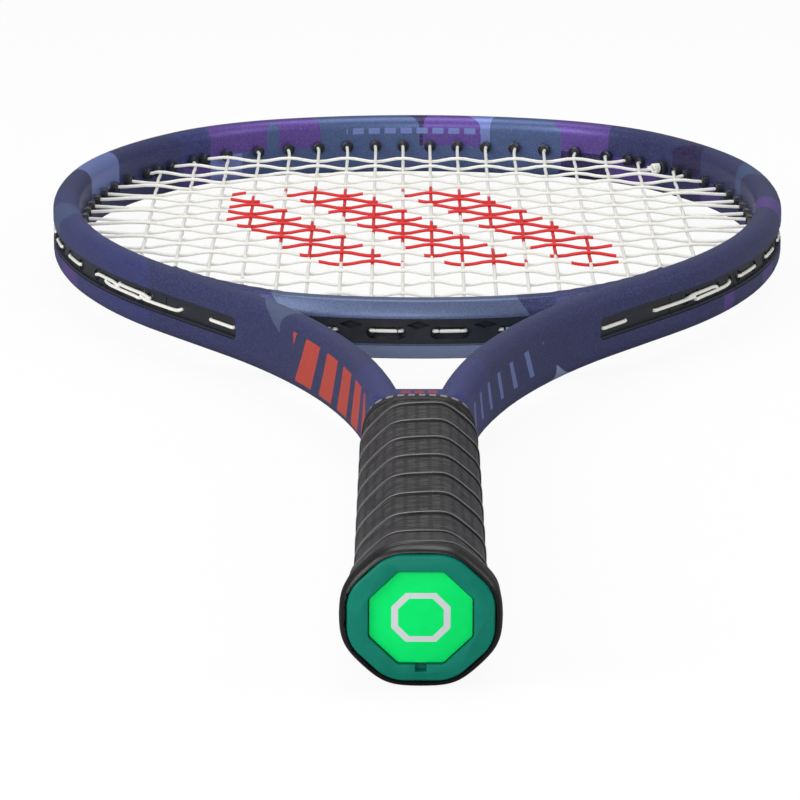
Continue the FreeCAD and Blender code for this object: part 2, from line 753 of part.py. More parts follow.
def tied_end(end, shared, lane):
    """From a knot in the head out through a shared hole and along the groove to an end hole."""
    lift = math.copysign(TIE_OFFSET, lane)
    run = groove_run(shared, end, lane)
    return [shared.mouth + UP * lift, shared.exit + UP * lift] + run[1:]


def loop(first, last, lane):
    if first.through_bridge:
        return [first.exit, last.exit]
    return groove_run(first, last, lane)


def main_route():
    """One string that goes up and down through all the main holes, tied at both ends."""
    lane = -LANE_OFFSET
    route = tied_end(*MAIN_TIES[0], lane)
    for index, (tip, throat) in enumerate(MAINS):
        upwards = index % 2 == 0
        near, far = (throat, tip) if upwards else (tip, throat)
        route += [near.mouth, far.mouth]
        if index < LAST:
            route += loop(far, MAINS[index + 1][0 if upwards else 1], lane)
    return route + tied_end(*MAIN_TIES[1], lane)[::-1]


def cross_run(index, left, right):
    """A cross string woven over and under the mains, from its left mouth to its right one."""
    start, end = left.mouth, right.mouth
    points = [start]
    for number, (tip, throat) in enumerate(MAINS):
        top, bottom = tip.mouth, throat.mouth
        share = (start.y - bottom.y) / (top.y - bottom.y)
        x = bottom.x + (top.x - bottom.x) * share
        if 0 < share < 1 and start.x + EDGE_MARGIN < x < end.x - EDGE_MARGIN:
            height = WEAVE if (number + index) % 2 == 0 else -WEAVE
            points.append(Vector(x, start.y, height))
    return points + [end]


def cross_route():
    """One string that goes from side to side through all the cross holes, tied at both ends."""
    lane = LANE_OFFSET
    route = tied_end(*CROSS_TIES[0], lane)
    for index, (left, right) in enumerate(CROSSES):
        run = cross_run(index, left, right)
        leftwards = index % 2 == 0
        route += run[::-1] if leftwards else run
        if index < CROSS_COUNT - 1:
            side = 0 if leftwards else 1
            route += loop(CROSSES[index][side], CROSSES[index + 1][side], lane)
    return route + tied_end(*CROSS_TIES[1], lane)[::-1]


def string_knots(ties):
    """Knots that hold one string's tied ends against the barrels they share."""
    knots = []
    for _, shared in ties:
        start = shared.mouth - shared.direction * (KNOT_LENGTH + STRING_CLEARANCE)
        end = shared.mouth - shared.direction * STRING_CLEARANCE
        knots.append(prism(start, end, KNOT_ACROSS, BARREL_FACES))
    return Part.makeCompound(knots)


# ---- Handle ----

def cap_stations(gap):
    """Outside of the butt cap and of the handle above it, grown by a gap on every side."""
    growths = (
        (BUTT_FACE, CAP_FACE_GROWTH), (CAP_FLARE_AT, CAP_FLARE_GROWTH), (CAP_NECK_AT, CAP_NECK_GROWTH),
        (CAP_TOP, CAP_SKIRT_GROWTH),
    )
    return [(y, HANDLE_WIDTH + more + 2 * gap, HANDLE_HEIGHT + more + 2 * gap) for y, more in growths]


def handle_stations(gap):
    """Outside of the whole handle under the grip, grown by a gap on every side."""
    top = (HANDLE_WIDTH + CAP_SKIRT_GROWTH + 2 * gap, HANDLE_HEIGHT + CAP_SKIRT_GROWTH + 2 * gap)
    return cap_stations(gap) + [(GRIP_END + GRIP_PITCH, *top)]


def handle_pallet(blank):
    """Moulded foam octagon round the two shafts."""
    pallet = octagon_solid([
        (HANDLE_FOOT, HANDLE_WIDTH, HANDLE_HEIGHT), (HANDLE_TOP, HANDLE_WIDTH, HANDLE_HEIGHT)])
    return pallet.cut(blank)


def butt_cap():
    """Flared cap with a socket for the handle and a ledge for the end plate."""
    cap = octagon_solid(cap_stations(0))
    socket = octagon_solid([
        (CAP_FLOOR, HANDLE_WIDTH, HANDLE_HEIGHT), (CAP_TOP + 1, HANDLE_WIDTH, HANDLE_HEIGHT)])
    gap = 2 * PLATE_CLEARANCE
    width, height = PLATE_WIDTH + gap, PLATE_HEIGHT + gap
    recess = octagon_solid([(BUTT_FACE - 1, width, height), (PLATE_THICK, width, height)])
    seat = 2 * PLATE_SEAT
    opening = octagon_solid([
        (0, PLATE_WIDTH - seat, PLATE_HEIGHT - seat),
        (CAP_FLOOR + 1, PLATE_WIDTH - seat, PLATE_HEIGHT - seat)])
    low = -PLATE_HEIGHT / 2 - PRY_HEIGHT
    high = low + 2 * PRY_HEIGHT
    notch = box(Vector(-PRY_WIDTH / 2, BUTT_FACE - 1, low), Vector(PRY_WIDTH / 2, PRY_DEPTH, high))
    return cap.cut([socket, recess, opening, notch])


def butt_plate():
    """Snap-in end plate with two tabs that grip the ledge from inside."""
    plate = octagon_solid([(0, PLATE_WIDTH, PLATE_HEIGHT), (PLATE_THICK, PLATE_WIDTH, PLATE_HEIGHT)])
    reach = PLATE_HEIGHT / 2 - PLATE_SEAT - PLATE_CLEARANCE
    tabs = []
    for way in (-1, 1):
        low, high = sorted((way * reach, way * (reach - TAB_THICK)))
        start = Vector(-TAB_WIDTH / 2, PLATE_THICK / 2, low)
        tabs.append(box(start, Vector(TAB_WIDTH / 2, PLATE_THICK + TAB_LENGTH, high)))
    return plate.fuse(tabs)


def butt_cap_staples():
    """Two staples, each driven through the cap's skirt into the handle."""
    staples = []
    surface = (HANDLE_HEIGHT + CAP_SKIRT_GROWTH) / 2
    for way in (-1, 1):
        crown_low = way * surface - STAPLE_WIRE / 2
        crown_high = way * surface + STAPLE_WIRE / 2
        leg_low, leg_high = sorted((way * (surface - STAPLE_LEG), way * surface))
        half = STAPLE_WIDTH / 2
        near, far = STAPLE_AT, STAPLE_AT + STAPLE_WIRE
        crown = box(Vector(-half, near, crown_low), Vector(half, far, crown_high))
        legs = []
        for edge in (-half, half - STAPLE_WIRE):
            legs.append(box(Vector(edge, near, leg_low), Vector(edge + STAPLE_WIRE, far, leg_high)))
        staples.append(crown.fuse(legs))
    return Part.makeCompound(staples)


def winding(pitch, width, start, end):
    """Band that winds round the handle like a screw, reaching well into and out of its sides."""
    growth = HANDLE_HEIGHT / 2
    inner = octagon(HANDLE_WIDTH - growth, HANDLE_HEIGHT - growth, 0)
    outer = octagon(HANDLE_WIDTH + growth, HANDLE_HEIGHT + growth, 0)
    lengths = [(after - before).Length for before, after in zip(outer, outer[1:] + outer[:1])]
    turns = math.ceil((end - start) / pitch) + 1
    y = start - pitch
    rings = []
    for index in range(8 * turns + 1):
        near, far = inner[index % 8], outer[index % 8]
        low, high = Vector(0, y, 0), Vector(0, y + width, 0)
        rings.append([near + low, near + high, far + high, far + low])
        y += pitch * lengths[index % 8] / sum(lengths)
    return ringed_solid(rings)


def grip_wrap():
    """One cushioned strip wound up the handle, cut square at both ends."""
    sleeve = octagon_solid(handle_stations(GRIP_CLEARANCE + GRIP_THICK))
    sleeve = sleeve.cut(octagon_solid(handle_stations(GRIP_CLEARANCE)))
    reach = HANDLE_WIDTH
    sleeve = sleeve.common(box(Vector(-reach, GRIP_START, -reach), Vector(reach, GRIP_END, reach)))
    return sleeve.common(winding(GRIP_PITCH, GRIP_PITCH - GRIP_SEAM, GRIP_START, GRIP_END))


def finishing_tape():
    """Thin band round the last turn of the grip."""
    growth = CAP_SKIRT_GROWTH + 2 * (GRIP_CLEARANCE + GRIP_THICK + TAPE_CLEARANCE)
    inner = [(y, HANDLE_WIDTH + growth, HANDLE_HEIGHT + growth) for y in (GRIP_END - TAPE_WIDTH, GRIP_END)]
    more = growth + 2 * TAPE_THICK
    outer = [(y, HANDLE_WIDTH + more, HANDLE_HEIGHT + more) for y in (GRIP_END - TAPE_WIDTH, GRIP_END)]
    return octagon_solid(outer).cut(octagon_solid(inner))


# ---- Build ----

def build():
    blank = tube_blank()
    pieces = {
        "frame_tube": frame_tube(blank),
        "throat_bridge": throat_bridge(blank),
        "throat_grommet_strip": throat_grommet_strip(),
        "main_string": string_solid(main_route()),
        "cross_string": string_solid(cross_route()),
        "main_string_knots": string_knots(MAIN_TIES),
        "cross_string_knots": string_knots(CROSS_TIES),
        "handle_pallet": handle_pallet(blank),
        "butt_cap": butt_cap(),
        "butt_cap_staples": butt_cap_staples(),
        "butt_plate": butt_plate(),
        "grip_wrap": grip_wrap(),
        "finishing_tape": finishing_tape(),
    }
    pieces.update(hoop_strips())
    return pieces


os.makedirs("parts", exist_ok=True)
for name, shape in build().items():
    shape.exportStep("parts/" + name + ".step")
    print(name, len(shape.Solids), round(shape.Volume, 1), shape.isValid())
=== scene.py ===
import math
import bpy
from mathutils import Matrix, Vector


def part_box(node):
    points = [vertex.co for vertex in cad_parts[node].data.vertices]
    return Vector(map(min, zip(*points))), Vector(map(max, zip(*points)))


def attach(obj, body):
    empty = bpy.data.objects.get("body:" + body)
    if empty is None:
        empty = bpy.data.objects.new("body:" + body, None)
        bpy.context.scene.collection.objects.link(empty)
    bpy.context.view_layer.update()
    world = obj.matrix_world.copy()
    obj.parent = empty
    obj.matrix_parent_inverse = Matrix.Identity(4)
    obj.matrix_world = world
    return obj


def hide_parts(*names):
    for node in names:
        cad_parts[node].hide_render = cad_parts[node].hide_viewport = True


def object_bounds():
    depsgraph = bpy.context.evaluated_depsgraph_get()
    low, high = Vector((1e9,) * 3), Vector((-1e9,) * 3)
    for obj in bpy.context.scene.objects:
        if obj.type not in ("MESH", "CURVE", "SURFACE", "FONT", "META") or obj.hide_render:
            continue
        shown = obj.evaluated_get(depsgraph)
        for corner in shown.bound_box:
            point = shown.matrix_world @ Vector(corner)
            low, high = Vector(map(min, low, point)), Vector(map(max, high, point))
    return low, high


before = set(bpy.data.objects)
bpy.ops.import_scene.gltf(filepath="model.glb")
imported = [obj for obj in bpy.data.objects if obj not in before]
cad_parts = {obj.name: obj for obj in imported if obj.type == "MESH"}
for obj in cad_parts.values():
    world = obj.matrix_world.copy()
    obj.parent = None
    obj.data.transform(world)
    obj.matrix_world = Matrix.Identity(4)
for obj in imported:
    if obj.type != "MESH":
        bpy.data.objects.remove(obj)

cad_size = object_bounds()

# Tennis racket, in metres. The origin is the centre of the end plate's outer face, +Y runs along
# the racket to the tip of the head, and +Z stands square to the strings.


# ---- Frame tube ----
# One hollow tube of carbon fibre, bent in a mould into the hoop, the two arms and the shafts that
# run down inside the handle. It is sanded smooth, painted in blocks and sealed with a satin lacquer.

BEAM = 0.0235  # height of the tube, square to the strings
TUBE_WIDTH, TUBE_CORNER = 0.010, 0.0046
HALF_TUBE = TUBE_WIDTH / 2
HEAD_RADII = (0.156, 0.087, 0.171, 0.257)  # of the opening: tip, shoulder, side and lower side
HEAD_TURNS = (19.6, 34.6, 28.0, 42.4)
HOOP_TURN = sum(HEAD_TURNS)
THROAT_RADIUS, THROAT_TURN = 0.130, 10.0
CORNER_TURN = 180 - HOOP_TURN - THROAT_TURN
ARM_RADIUS = 0.311
SHAFT_SPACING = 0.0174
SHAFT_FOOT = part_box("frame_tube")[0].y
TIP_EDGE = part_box("frame_tube")[1].y - TUBE_WIDTH
HANDLE_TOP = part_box("handle_pallet")[1].y
HANDLE_WIDTH, HANDLE_HEIGHT = 0.0299, 0.0256
TOP_FLAT_SHARE, SIDE_FLAT_SHARE = 0.44, 0.41  # the octagon's flats, as shares of its width and height
SHAFT_COVER = 0.001  # foam over the trimmed corners of the shafts
TRIM_TOP, TRIM_RUN = HANDLE_TOP + 0.005, 0.010  # the trim ends here and runs out over this length
YOKE_FOOT, YOKE_TOP = HANDLE_TOP - 0.028, HANDLE_TOP + 0.024
YOKE_BEAM, YOKE_RIM = 0.022, 0.0025
GROOVE_DEPTH, GROOVE_HEIGHT, GROOVE_CORNER = 0.0026, 0.0076, 0.0020
GROOVE_END = 0.4421  # measured along the tube from the tip
FACET = math.radians(2)  # turn of one facet round a bend


def zero_of(value, low, high):
    """Where a value that falls from low to high reaches nought."""
    for _ in range(50):
        middle = (low + high) / 2
        if value(middle) > 0:
            low = middle
        else:
            high = middle
    return low


def right_of(way):
    return Vector((way.y, -way.x, 0))


def moved(point, along, bend, distance):
    """Point and direction after an arc that turns right by bend radians per metre."""
    if bend == 0:
        return point + along * distance, along
    cosine, sine = math.cos(bend * distance), math.sin(bend * distance)
    onward = Vector((along.x * cosine + along.y * sine, along.y * cosine - along.x * sine, 0))
    centre = point + right_of(along) / bend
    return centre - right_of(onward) / bend, onward


class Line:
    """Tangent arcs and straights, from the middle to the right end, and the same on the left.

    A place is the distance from the middle, negative on the left. The outside is to the left of
    the way from the middle to the right end, or to its right where outward is -1.
    """

    def __init__(self, start, pieces, outward=1):
        self.outward = outward
        self.pieces = []
        place, point, along = 0.0, start, Vector((1, 0, 0))
        for bend, length in pieces:
            self.pieces.append((place, length, point, along, bend))
            point, along = moved(point, along, bend, length)
            place += length
        self.length, self.end = place, point

    def at(self, place):
        """Point at a place and the outward direction there."""
        first, _, point, along, bend = [piece for piece in self.pieces if piece[0] <= abs(place)][-1]
        point, along = moved(point, along, bend, abs(place) - first)
        mirror = Vector((math.copysign(1, place), 1, 0))
        return point * mirror, right_of(along) * mirror * -self.outward

    def station(self, place, offset, height=0.0):
        point, outward = self.at(place)
        return point + outward * offset + Vector((0, 0, height))

    def where(self, value, low, high):
        """Place between two others where a value that falls along the way reaches nought."""
        return zero_of(lambda place: value(self.at(place)), low, high)


def arc(radius, degrees):
    """Piece of a line that turns right, or left where the radius is negative."""
    return 1 / radius, abs(radius) * math.radians(degrees)


def hoop_arcs(offset):
    """The four arcs of the hoop's right side, outside the opening's edge by an offset."""
    return [arc(radius + offset, turn) for radius, turn in zip(HEAD_RADII, HEAD_TURNS)]


def tube_line():
    """Centre line of the tube, from the tip round the hoop and down the arms and shafts."""
    start = Vector((0, TIP_EDGE + HALF_TUBE, 0))
    leave = Line(start, hoop_arcs(HALF_TUBE)).end
    slant = math.radians(HOOP_TURN - 90)
    inward = leave.x - SHAFT_SPACING / 2 - ARM_RADIUS * (1 - math.cos(slant))
    arm = hoop_arcs(HALF_TUBE) + [(0, inward / math.sin(slant)), arc(-ARM_RADIUS, HOOP_TURN - 90)]
    return Line(start, arm + [(0, Line(start, arm).end.y - SHAFT_FOOT)])


def head_edge():
    """Edge of the head opening, from the tip to the middle of the throat, and its corner's radius."""
    start = Vector((0, TIP_EDGE, 0))
    throat_sine = math.sin(math.radians(THROAT_TURN))
    corner = Line(start, hoop_arcs(0)).end.x - THROAT_RADIUS * throat_sine
    corner /= math.sin(math.radians(HOOP_TURN)) - throat_sine
    return Line(start, hoop_arcs(0) + [arc(corner, CORNER_TURN), arc(THROAT_RADIUS, THROAT_TURN)]), corner


TUBE = tube_line()
EDGE, CORNER_RADIUS = head_edge()


def edit():
    bpy.ops.object.mode_set(mode="EDIT")


def leave_edit():
    bpy.ops.object.mode_set(mode="OBJECT")


def select_all():
    bpy.ops.mesh.select_all(action="SELECT")


def push(move):
    """Extrude what is selected by a vector."""
    bpy.ops.mesh.extrude_region_move(TRANSFORM_OT_translate={"value": move})


def resize(size, centre):
    bpy.ops.transform.resize(value=size, center_override=centre)


def face_outwards():
    """Turn all faces of the active piece outwards."""
    edit()
    select_all()
    bpy.ops.mesh.normals_make_consistent(inside=False)
    leave_edit()


def pick(piece, *others):
    """Select only these pieces and make the first one active."""
    bpy.ops.object.select_all(action="DESELECT")
    for chosen in (*others, piece):
        chosen.select_set(True)
    bpy.context.view_layer.objects.active = piece


def modify(piece, kind, **settings):
    """Give a piece a modifier and apply it."""
    bpy.context.view_layer.objects.active = piece
    leave_edit()
    modifier = piece.modifiers.new(kind, kind)
    for setting, value in settings.items():
        setattr(modifier, setting, value)
    bpy.ops.object.modifier_apply(modifier=kind)


def placed(name):
    """Name the object just added and move its place into its mesh."""
    piece = bpy.context.object
    piece.name = piece.data.name = name
    bpy.ops.object.transform_apply()
    return piece


def outline(name, points, closed=True):
    """New piece with one outline, drawn by extruding a vertex from point to point."""
    bpy.ops.object.select_all(action="DESELECT")
    bpy.ops.mesh.primitive_plane_add(size=0.001, location=points[0])
    piece = placed(name)
    edit()
    bpy.ops.mesh.merge(type="CENTER")
    for before, after in zip(points, points[1:] + points[:1] if closed else points[1:]):
        push(after - before)
    select_all()
    bpy.ops.mesh.remove_doubles(threshold=1e-6)
    return piece


def block(name, low, high):
    """Closed box between two corners."""
    bpy.ops.object.select_all(action="DESELECT")
    bpy.ops.mesh.primitive_cube_add(size=1, location=(low + high) / 2, scale=high - low)
    return placed(name)


def round_corners(radius, segments):
    """Round all corners of the outline."""
    bpy.ops.mesh.edge_face_add()
    bpy.ops.mesh.bevel(offset=radius, segments=segments, affect="VERTICES")
    select_all()
    bpy.ops.mesh.delete(type="ONLY_FACE")
    select_all()


def across(line, corners, place=0):
    """Points of a section that stands across a line, given as (outwards, up) corners."""
    return [line.station(place, offset, height) for offset, height in corners]


def rectangle(low, high, half):
    return ((low, -half), (high, -half), (high, half), (low, half))


def sweep(line, first, last):
    """Carry the selected outline from one place of a line on to another."""
    for place, length, _, along, bend in line.pieces:
        start, end = max(first, place), min(last, place + length)
        if end - start < 1e-7:
            continue
        if bend == 0:
            push(along * (end - start))
        else:
            here, outward = line.at(start)
            turn = bend * (end - start)
            bpy.ops.mesh.spin(steps=math.ceil(abs(turn) / FACET), angle=turn, axis=(0, 0, 1),
                              center=here - outward * (line.outward / bend))


def close_piece():
    """Fill the open ends and turn all faces outwards."""
    edit()
    bpy.ops.mesh.select_all(action="DESELECT")
    bpy.ops.mesh.select_non_manifold(extend=False, use_wire=False, use_multi_face=False,
                                     use_non_contiguous=False, use_verts=False)
    bpy.ops.mesh.fill_holes(sides=0)
    face_outwards()


def mirrored(piece):
    """Add the left half of a piece that ends open on the middle plane, and close it."""
    modify(piece, "MIRROR", merge_threshold=1e-5)
    close_piece()


def combine(piece, tools, operation="DIFFERENCE"):
    """Cut closed tools out of a piece, or join them to it."""
    for tool in tools:
        modify(piece, "BOOLEAN", operation=operation, object=tool)
        bpy.data.objects.remove(tool)


def smooth(piece, degrees=35):
    pick(piece)
    bpy.ops.object.shade_smooth_by_angle(angle=math.radians(degrees))


def select_where(piece, kind, wanted):
    """Select only the faces or edges of a piece that pass a test."""
    edit()
    bpy.ops.mesh.select_mode(type=kind)
    bpy.ops.mesh.select_all(action="DESELECT")
    leave_edit()
    for part in piece.data.polygons if kind == "FACE" else piece.data.edges:
        part.select = wanted(part)
    edit()


def tube_place(point):
    """Place on the tube's centre line beside a point near it."""
    right = Vector((abs(point.x), point.y, 0))
    place = TUBE.where(lambda spot: (right - spot[0]).dot(right_of(spot[1])), 0, TUBE.length)
    return math.copysign(place, point.x)


def beside_tube(point):
    """Place on the tube's centre line beside a point, and its distance outside that line."""
    place = tube_place(point)
    spot, outward = TUBE.at(place)
    return place, (point - spot).dot(outward)


def round_ends(piece, end, half_height):
    """Round the corners of a groove or strip where it ends at a place of the tube."""
    def at_corner(edge):
        low, high = (piece.data.vertices[number].co for number in edge.vertices)
        if abs(abs(low.z) - half_height) > 1e-5 or abs(low.z - high.z) > 1e-5:
            return False
        return all(abs(abs(tube_place(spot)) - end) < 1e-4 for spot in (low, high))
    select_where(piece, "EDGE", at_corner)
    bpy.ops.mesh.bevel(offset=GROOVE_CORNER, segments=4)
    bpy.ops.mesh.select_mode(type="VERT")
    leave_edit()


def sink_groove(piece):
    """Press the string groove into the outside of the hoop, with rounded ends."""
    def in_groove(face):
        if abs(face.center.z) > GROOVE_HEIGHT / 2 or abs(face.normal.z) > 0.5 or face.center.y < YOKE_TOP:
            return False
        place, offset = beside_tube(face.center)
        return offset > HALF_TUBE * 0.9 and abs(place) < GROOVE_END
    select_where(piece, "FACE", in_groove)
    bpy.ops.mesh.extrude_region_shrink_fatten(TRANSFORM_OT_shrink_fatten={"value": -GROOVE_DEPTH})
    round_ends(piece, GROOVE_END, GROOVE_HEIGHT / 2)
    face_outwards()


def shaft_trim():
    """Tool that takes the shafts' outer corners off, so that the octagonal handle can cover them."""
    wide, tall = HANDLE_WIDTH / 2 - SHAFT_COVER, HANDLE_HEIGHT / 2 - SHAFT_COVER
    flat_x, flat_z = wide * TOP_FLAT_SHARE, tall * SIDE_FLAT_SHARE
    down = Vector((wide - flat_x, 0, flat_z - tall))
    foot = Vector((0, SHAFT_FOOT - 0.001, 0))
    corners = (Vector((flat_x, 0, tall)) - down * 0.5, Vector((wide, 0, flat_z)) + down * 0.5,
               Vector((wide + BEAM / 2, 0, tall + BEAM / 2)))
    tool = outline("trim", [corner + foot for corner in corners])
    bpy.ops.mesh.edge_face_add()
    push(Vector((0, TRIM_TOP - foot.y, 0)))
    push(Vector((-down.z, 0, down.x)).normalized() * TRIM_RUN / 2 + Vector((0, TRIM_RUN, 0)))
    close_piece()
    modify(tool, "MIRROR", use_axis=(True, False, True))
    face_outwards()
    return tool


tube = outline("frame_tube_body", across(TUBE, rectangle(-HALF_TUBE, HALF_TUBE, BEAM / 2)))
round_corners(TUBE_CORNER, 6)
for height in (GROOVE_HEIGHT / 2, -GROOVE_HEIGHT / 2):
    select_all()
    bpy.ops.mesh.bisect(plane_co=(0, 0, height), plane_no=(0, 0, 1))
select_all()
sweep(TUBE, 0, GROOVE_END)
sweep(TUBE, GROOVE_END, TUBE.length)
mirrored(tube)
sink_groove(tube)
yoke_corner = Vector((SHAFT_SPACING / 2 + HALF_TUBE / 2, 0, YOKE_BEAM / 2))
yoke = block("yoke", Vector((0, YOKE_FOOT, 0)) - yoke_corner, Vector((0, YOKE_TOP, 0)) + yoke_corner)
modify(yoke, "BEVEL", width=YOKE_RIM, segments=4)
combine(tube, [yoke], "UNION")
combine(tube, [shaft_trim()])
smooth(tube)


def sum_node(operation, reflected=False):
    """Operator on varying numbers, done by a Math node. If reflected, the other number goes first."""
    def made(value, *others):
        numbers = (*others, value) if reflected else (value, *others)
        return value.finish.math(operation, *numbers)
    return made


class Value:
    """An output of a finish's node. Arithmetic on it adds Math nodes."""

    def __init__(self, finish, socket):
        self.finish = finish
        self.socket = socket

    __add__ = __radd__ = sum_node("ADD")
    __sub__ = sum_node("SUBTRACT")
    __rsub__ = sum_node("SUBTRACT", reflected=True)
    __mul__ = __rmul__ = sum_node("MULTIPLY")
    __mod__ = sum_node("FLOORED_MODULO")
    __pow__ = sum_node("POWER")
    __gt__ = sum_node("GREATER_THAN")
    __lt__ = sum_node("LESS_THAN")
    __abs__ = sum_node("ABSOLUTE")


class Finish:
    """A material on one Principled shader, with Object coordinates ready to use."""

    def __init__(self, name, **constants):
        self.material = bpy.data.materials.new(name)
        self.material.use_nodes = True
        self.nodes = self.material.node_tree.nodes
        self.shader = self.nodes["Principled BSDF"]
        self.surface(**constants)
        self.place = self.node("ShaderNodeTexCoord")["Object"]
        self.x, self.y, self.z = self.parts(self.place)

    def node(self, kind, sockets=None, **settings):
        """Add a node, set its settings, then its sockets, and return its outputs by name."""
        made = self.nodes.new(kind)
        for setting, value in settings.items():
            setattr(made, setting, value)
        for socket, value in (sockets or {}).items():
            self.feed(made.inputs[socket], value)
        return {socket.name: Value(self, socket) for socket in made.outputs if socket.enabled}

    def feed(self, socket, value):
        if isinstance(value, Value):
            self.material.node_tree.links.new(value.socket, socket)
        else:
            socket.default_value = value

    def surface(self, **values):
        for socket, value in values.items():
            self.feed(self.shader.inputs[socket.replace("_", " ")], value)

    def math(self, operation, *values):
        return self.node("ShaderNodeMath", dict(enumerate(values)), operation=operation)["Value"]

    def parts(self, vector):
        return self.node("ShaderNodeSeparateXYZ", {"Vector": vector}).values()

    def mix(self, factor, first, second):
        """Colour that goes from the first to the second as the factor goes from 0 to 1."""
        return self.node("ShaderNodeMix", {0: factor, 6: first, 7: second}, data_type="RGBA")["Result"]

    def noise(self, scale, detail=2.0, roughness=0.5):
        sockets = {"Vector": self.place, "Scale": scale, "Detail": detail, "Roughness": roughness}
        return self.node("ShaderNodeTexNoise", sockets)["Fac"]

    def clouds(self, scale, dark, pale, detail=2.0, rough=(0.3, 0.5), blend=0.5):
        """Soft clouds that go from a dark and smooth shade to a pale and rough one."""
        cloud = self.noise(scale, detail, blend)
        shade = self.mix(cloud, dark, pale)
        self.surface(Base_Color=shade, Roughness=rough[0] + (rough[1] - rough[0]) * cloud)
        return shade

    def cells(self, vector, scale, **settings):
        """Cells with a random colour each."""
        return self.node("ShaderNodeTexVoronoi", {"Vector": vector, "Scale": scale}, **settings)

    def fields(self, number, stops):
        """Flat colours, each from its own threshold of a number up to the next one."""
        chosen = self.node("ShaderNodeValToRGB", {"Fac": number})["Color"]
        ramp = chosen.socket.node.color_ramp
        ramp.interpolation = "CONSTANT"
        ramp.elements.remove(ramp.elements[1])
        ramp.elements[0].color = stops[0][1]
        for position, shade in stops[1:]:
            ramp.elements.new(position).color = shade
        return chosen

    def bump(self, height, distance, strength):
        sockets = {"Height": height, "Distance": distance, "Strength": strength}
        self.surface(Normal=self.node("ShaderNodeBump", sockets)["Normal"])

    def on(self, piece):
        """Put this finish on all of a piece, in place of any other."""
        piece.data.materials.clear()
        piece.data.materials.append(self.material)


def colour(red, green, blue):
    """Linear colour from a paint shade given on the usual scale of 0 to 255."""
    return tuple(((part / 255 + 0.055) / 1.055) ** 2.4 if part > 10 else part / 3295
                 for part in (red, green, blue)) + (1.0,)


NAVY = colour(52, 58, 108)
INDIGO = colour(56, 62, 124)
SLATE = colour(70, 90, 136)
MIST = colour(86, 100, 136)
DEEP = colour(40, 30, 84)
PLUM = colour(92, 66, 148)
CORAL = colour(216, 76, 60)
SKY = colour(112, 128, 190)
PATCH_SIZE, PATCH_FROM, PATCH_FOOT = (0.024, 0.013, 0.0042), 0.73, 0.40
PALE_FOOT, PALE_TOP, PALE_HALF, PALE_LEAN = 0.30, 0.40, 0.041, 0.8  # on the bridge
PALEST_TOP = -0.005  # and paler still up to this height
ARM_LEAN = (0.82, -0.57, 0.35)  # of the marks: along y, away from the middle plane and up
ARM_FROM, ARM_TO, ARM_NEAR = 0.205, 0.290, 0.014
BAR_STEP, BAR_BROAD, BAR_HALF = 0.012, 0.0075, 0.0080
LINE_STEP, LINE_BROAD, LINE_HALF = 0.009, 0.0022, 0.0048
YOKE_STEP, YOKE_BROAD, YOKE_HALF = 0.004, 0.0030, 0.0055
YOKE_FROM, YOKE_TO, YOKE_ABOVE = 0.1945, 0.1975, 0.009
DASH_STEP, DASH_BROAD, DASH_ROW_HALF = 0.0066, 0.0046, 0.0290
DASH_FROM, DASH_HEIGHT, DASH_HALF = 0.6, 0.0062, 0.0012


def frame_paint():
    """Satin metallic navy with a fine flake, some angular patches, and short bars on both arms."""
    finish = Finish("frame_paint", Metallic=0.5, Specular_IOR_Level=0.25, Coat_Weight=0.06,
                    Coat_Roughness=0.3)
    x, y, z, half = finish.x, finish.y, finish.z, abs(finish.x)
    slanted = finish.node("ShaderNodeMapping", {
        "Vector": finish.place, "Rotation": (0, 0, 0.6), "Scale": (1.0, 0.7, 0.3)})["Vector"]
    wide = finish.cells(slanted, 9.0, distance="CHEBYCHEV")["Color"]
    wide = finish.node("ShaderNodeSeparateColor", {"Color": wide})["Green"]
    painted = finish.fields(wide, ((0.0, NAVY), (0.4, INDIGO), (0.8, SLATE)))
    squares = finish.node("ShaderNodeVectorMath", {0: slanted, 1: PATCH_SIZE}, operation="SNAP")
    chance = finish.node("ShaderNodeTexWhiteNoise", {"Vector": squares["Vector"]})["Value"]
    patches = finish.fields(chance, ((0.0, PLUM), (0.79, DEEP), (0.84, SLATE), (0.88, PLUM), (0.97, SKY)))
    painted = finish.mix((chance > PATCH_FROM) * (y > PATCH_FOOT), painted, patches)
    on_bridge = (abs(x + PALE_LEAN * z) < PALE_HALF) * (y > PALE_FOOT) * (y < PALE_TOP)
    painted = finish.mix(on_bridge, painted, MIST)
    painted = finish.mix(on_bridge * (z < PALEST_TOP), painted, colour(140, 156, 192))
    lean = ARM_LEAN[0] * y + ARM_LEAN[1] * half + ARM_LEAN[2] * z
    on_arm = (y > ARM_FROM) * (y < ARM_TO) * (half > ARM_NEAR)
    bars = ((lean % BAR_STEP) < BAR_BROAD) * on_arm * (x < 0) * (abs(z) < BAR_HALF)
    painted = finish.mix(bars, painted, CORAL)
    lines = ((lean % LINE_STEP) < LINE_BROAD) * on_arm * (x > 0) * (abs(z) < LINE_HALF)
    painted = finish.mix(lines, painted, SKY)
    marks = (half < YOKE_HALF) * (((x + YOKE_HALF) % YOKE_STEP) < YOKE_BROAD) * (y > YOKE_FROM)
    painted = finish.mix(marks * (y < YOKE_TO) * (z > YOKE_ABOVE), painted, colour(176, 62, 60))
    dashes = (half < DASH_ROW_HALF) * ((x % DASH_STEP) < DASH_BROAD) * (y > DASH_FROM)
    dashes = dashes * (abs(z - DASH_HEIGHT) < DASH_HALF)
    painted = finish.mix(dashes, painted, SKY)
    grains = finish.cells(finish.place, 5200)["Color"]
    grain = finish.node("ShaderNodeSeparateColor", {"Color": grains})["Blue"]
    flake = finish.mix(0.10, painted, (1, 1, 1, 1))
    finish.surface(Base_Color=finish.mix(grain ** 3, painted, flake), Roughness=0.38 + 0.1 * grain)
    finish.bump(finish.noise(1400), 0.00001, 0.3)
    return finish


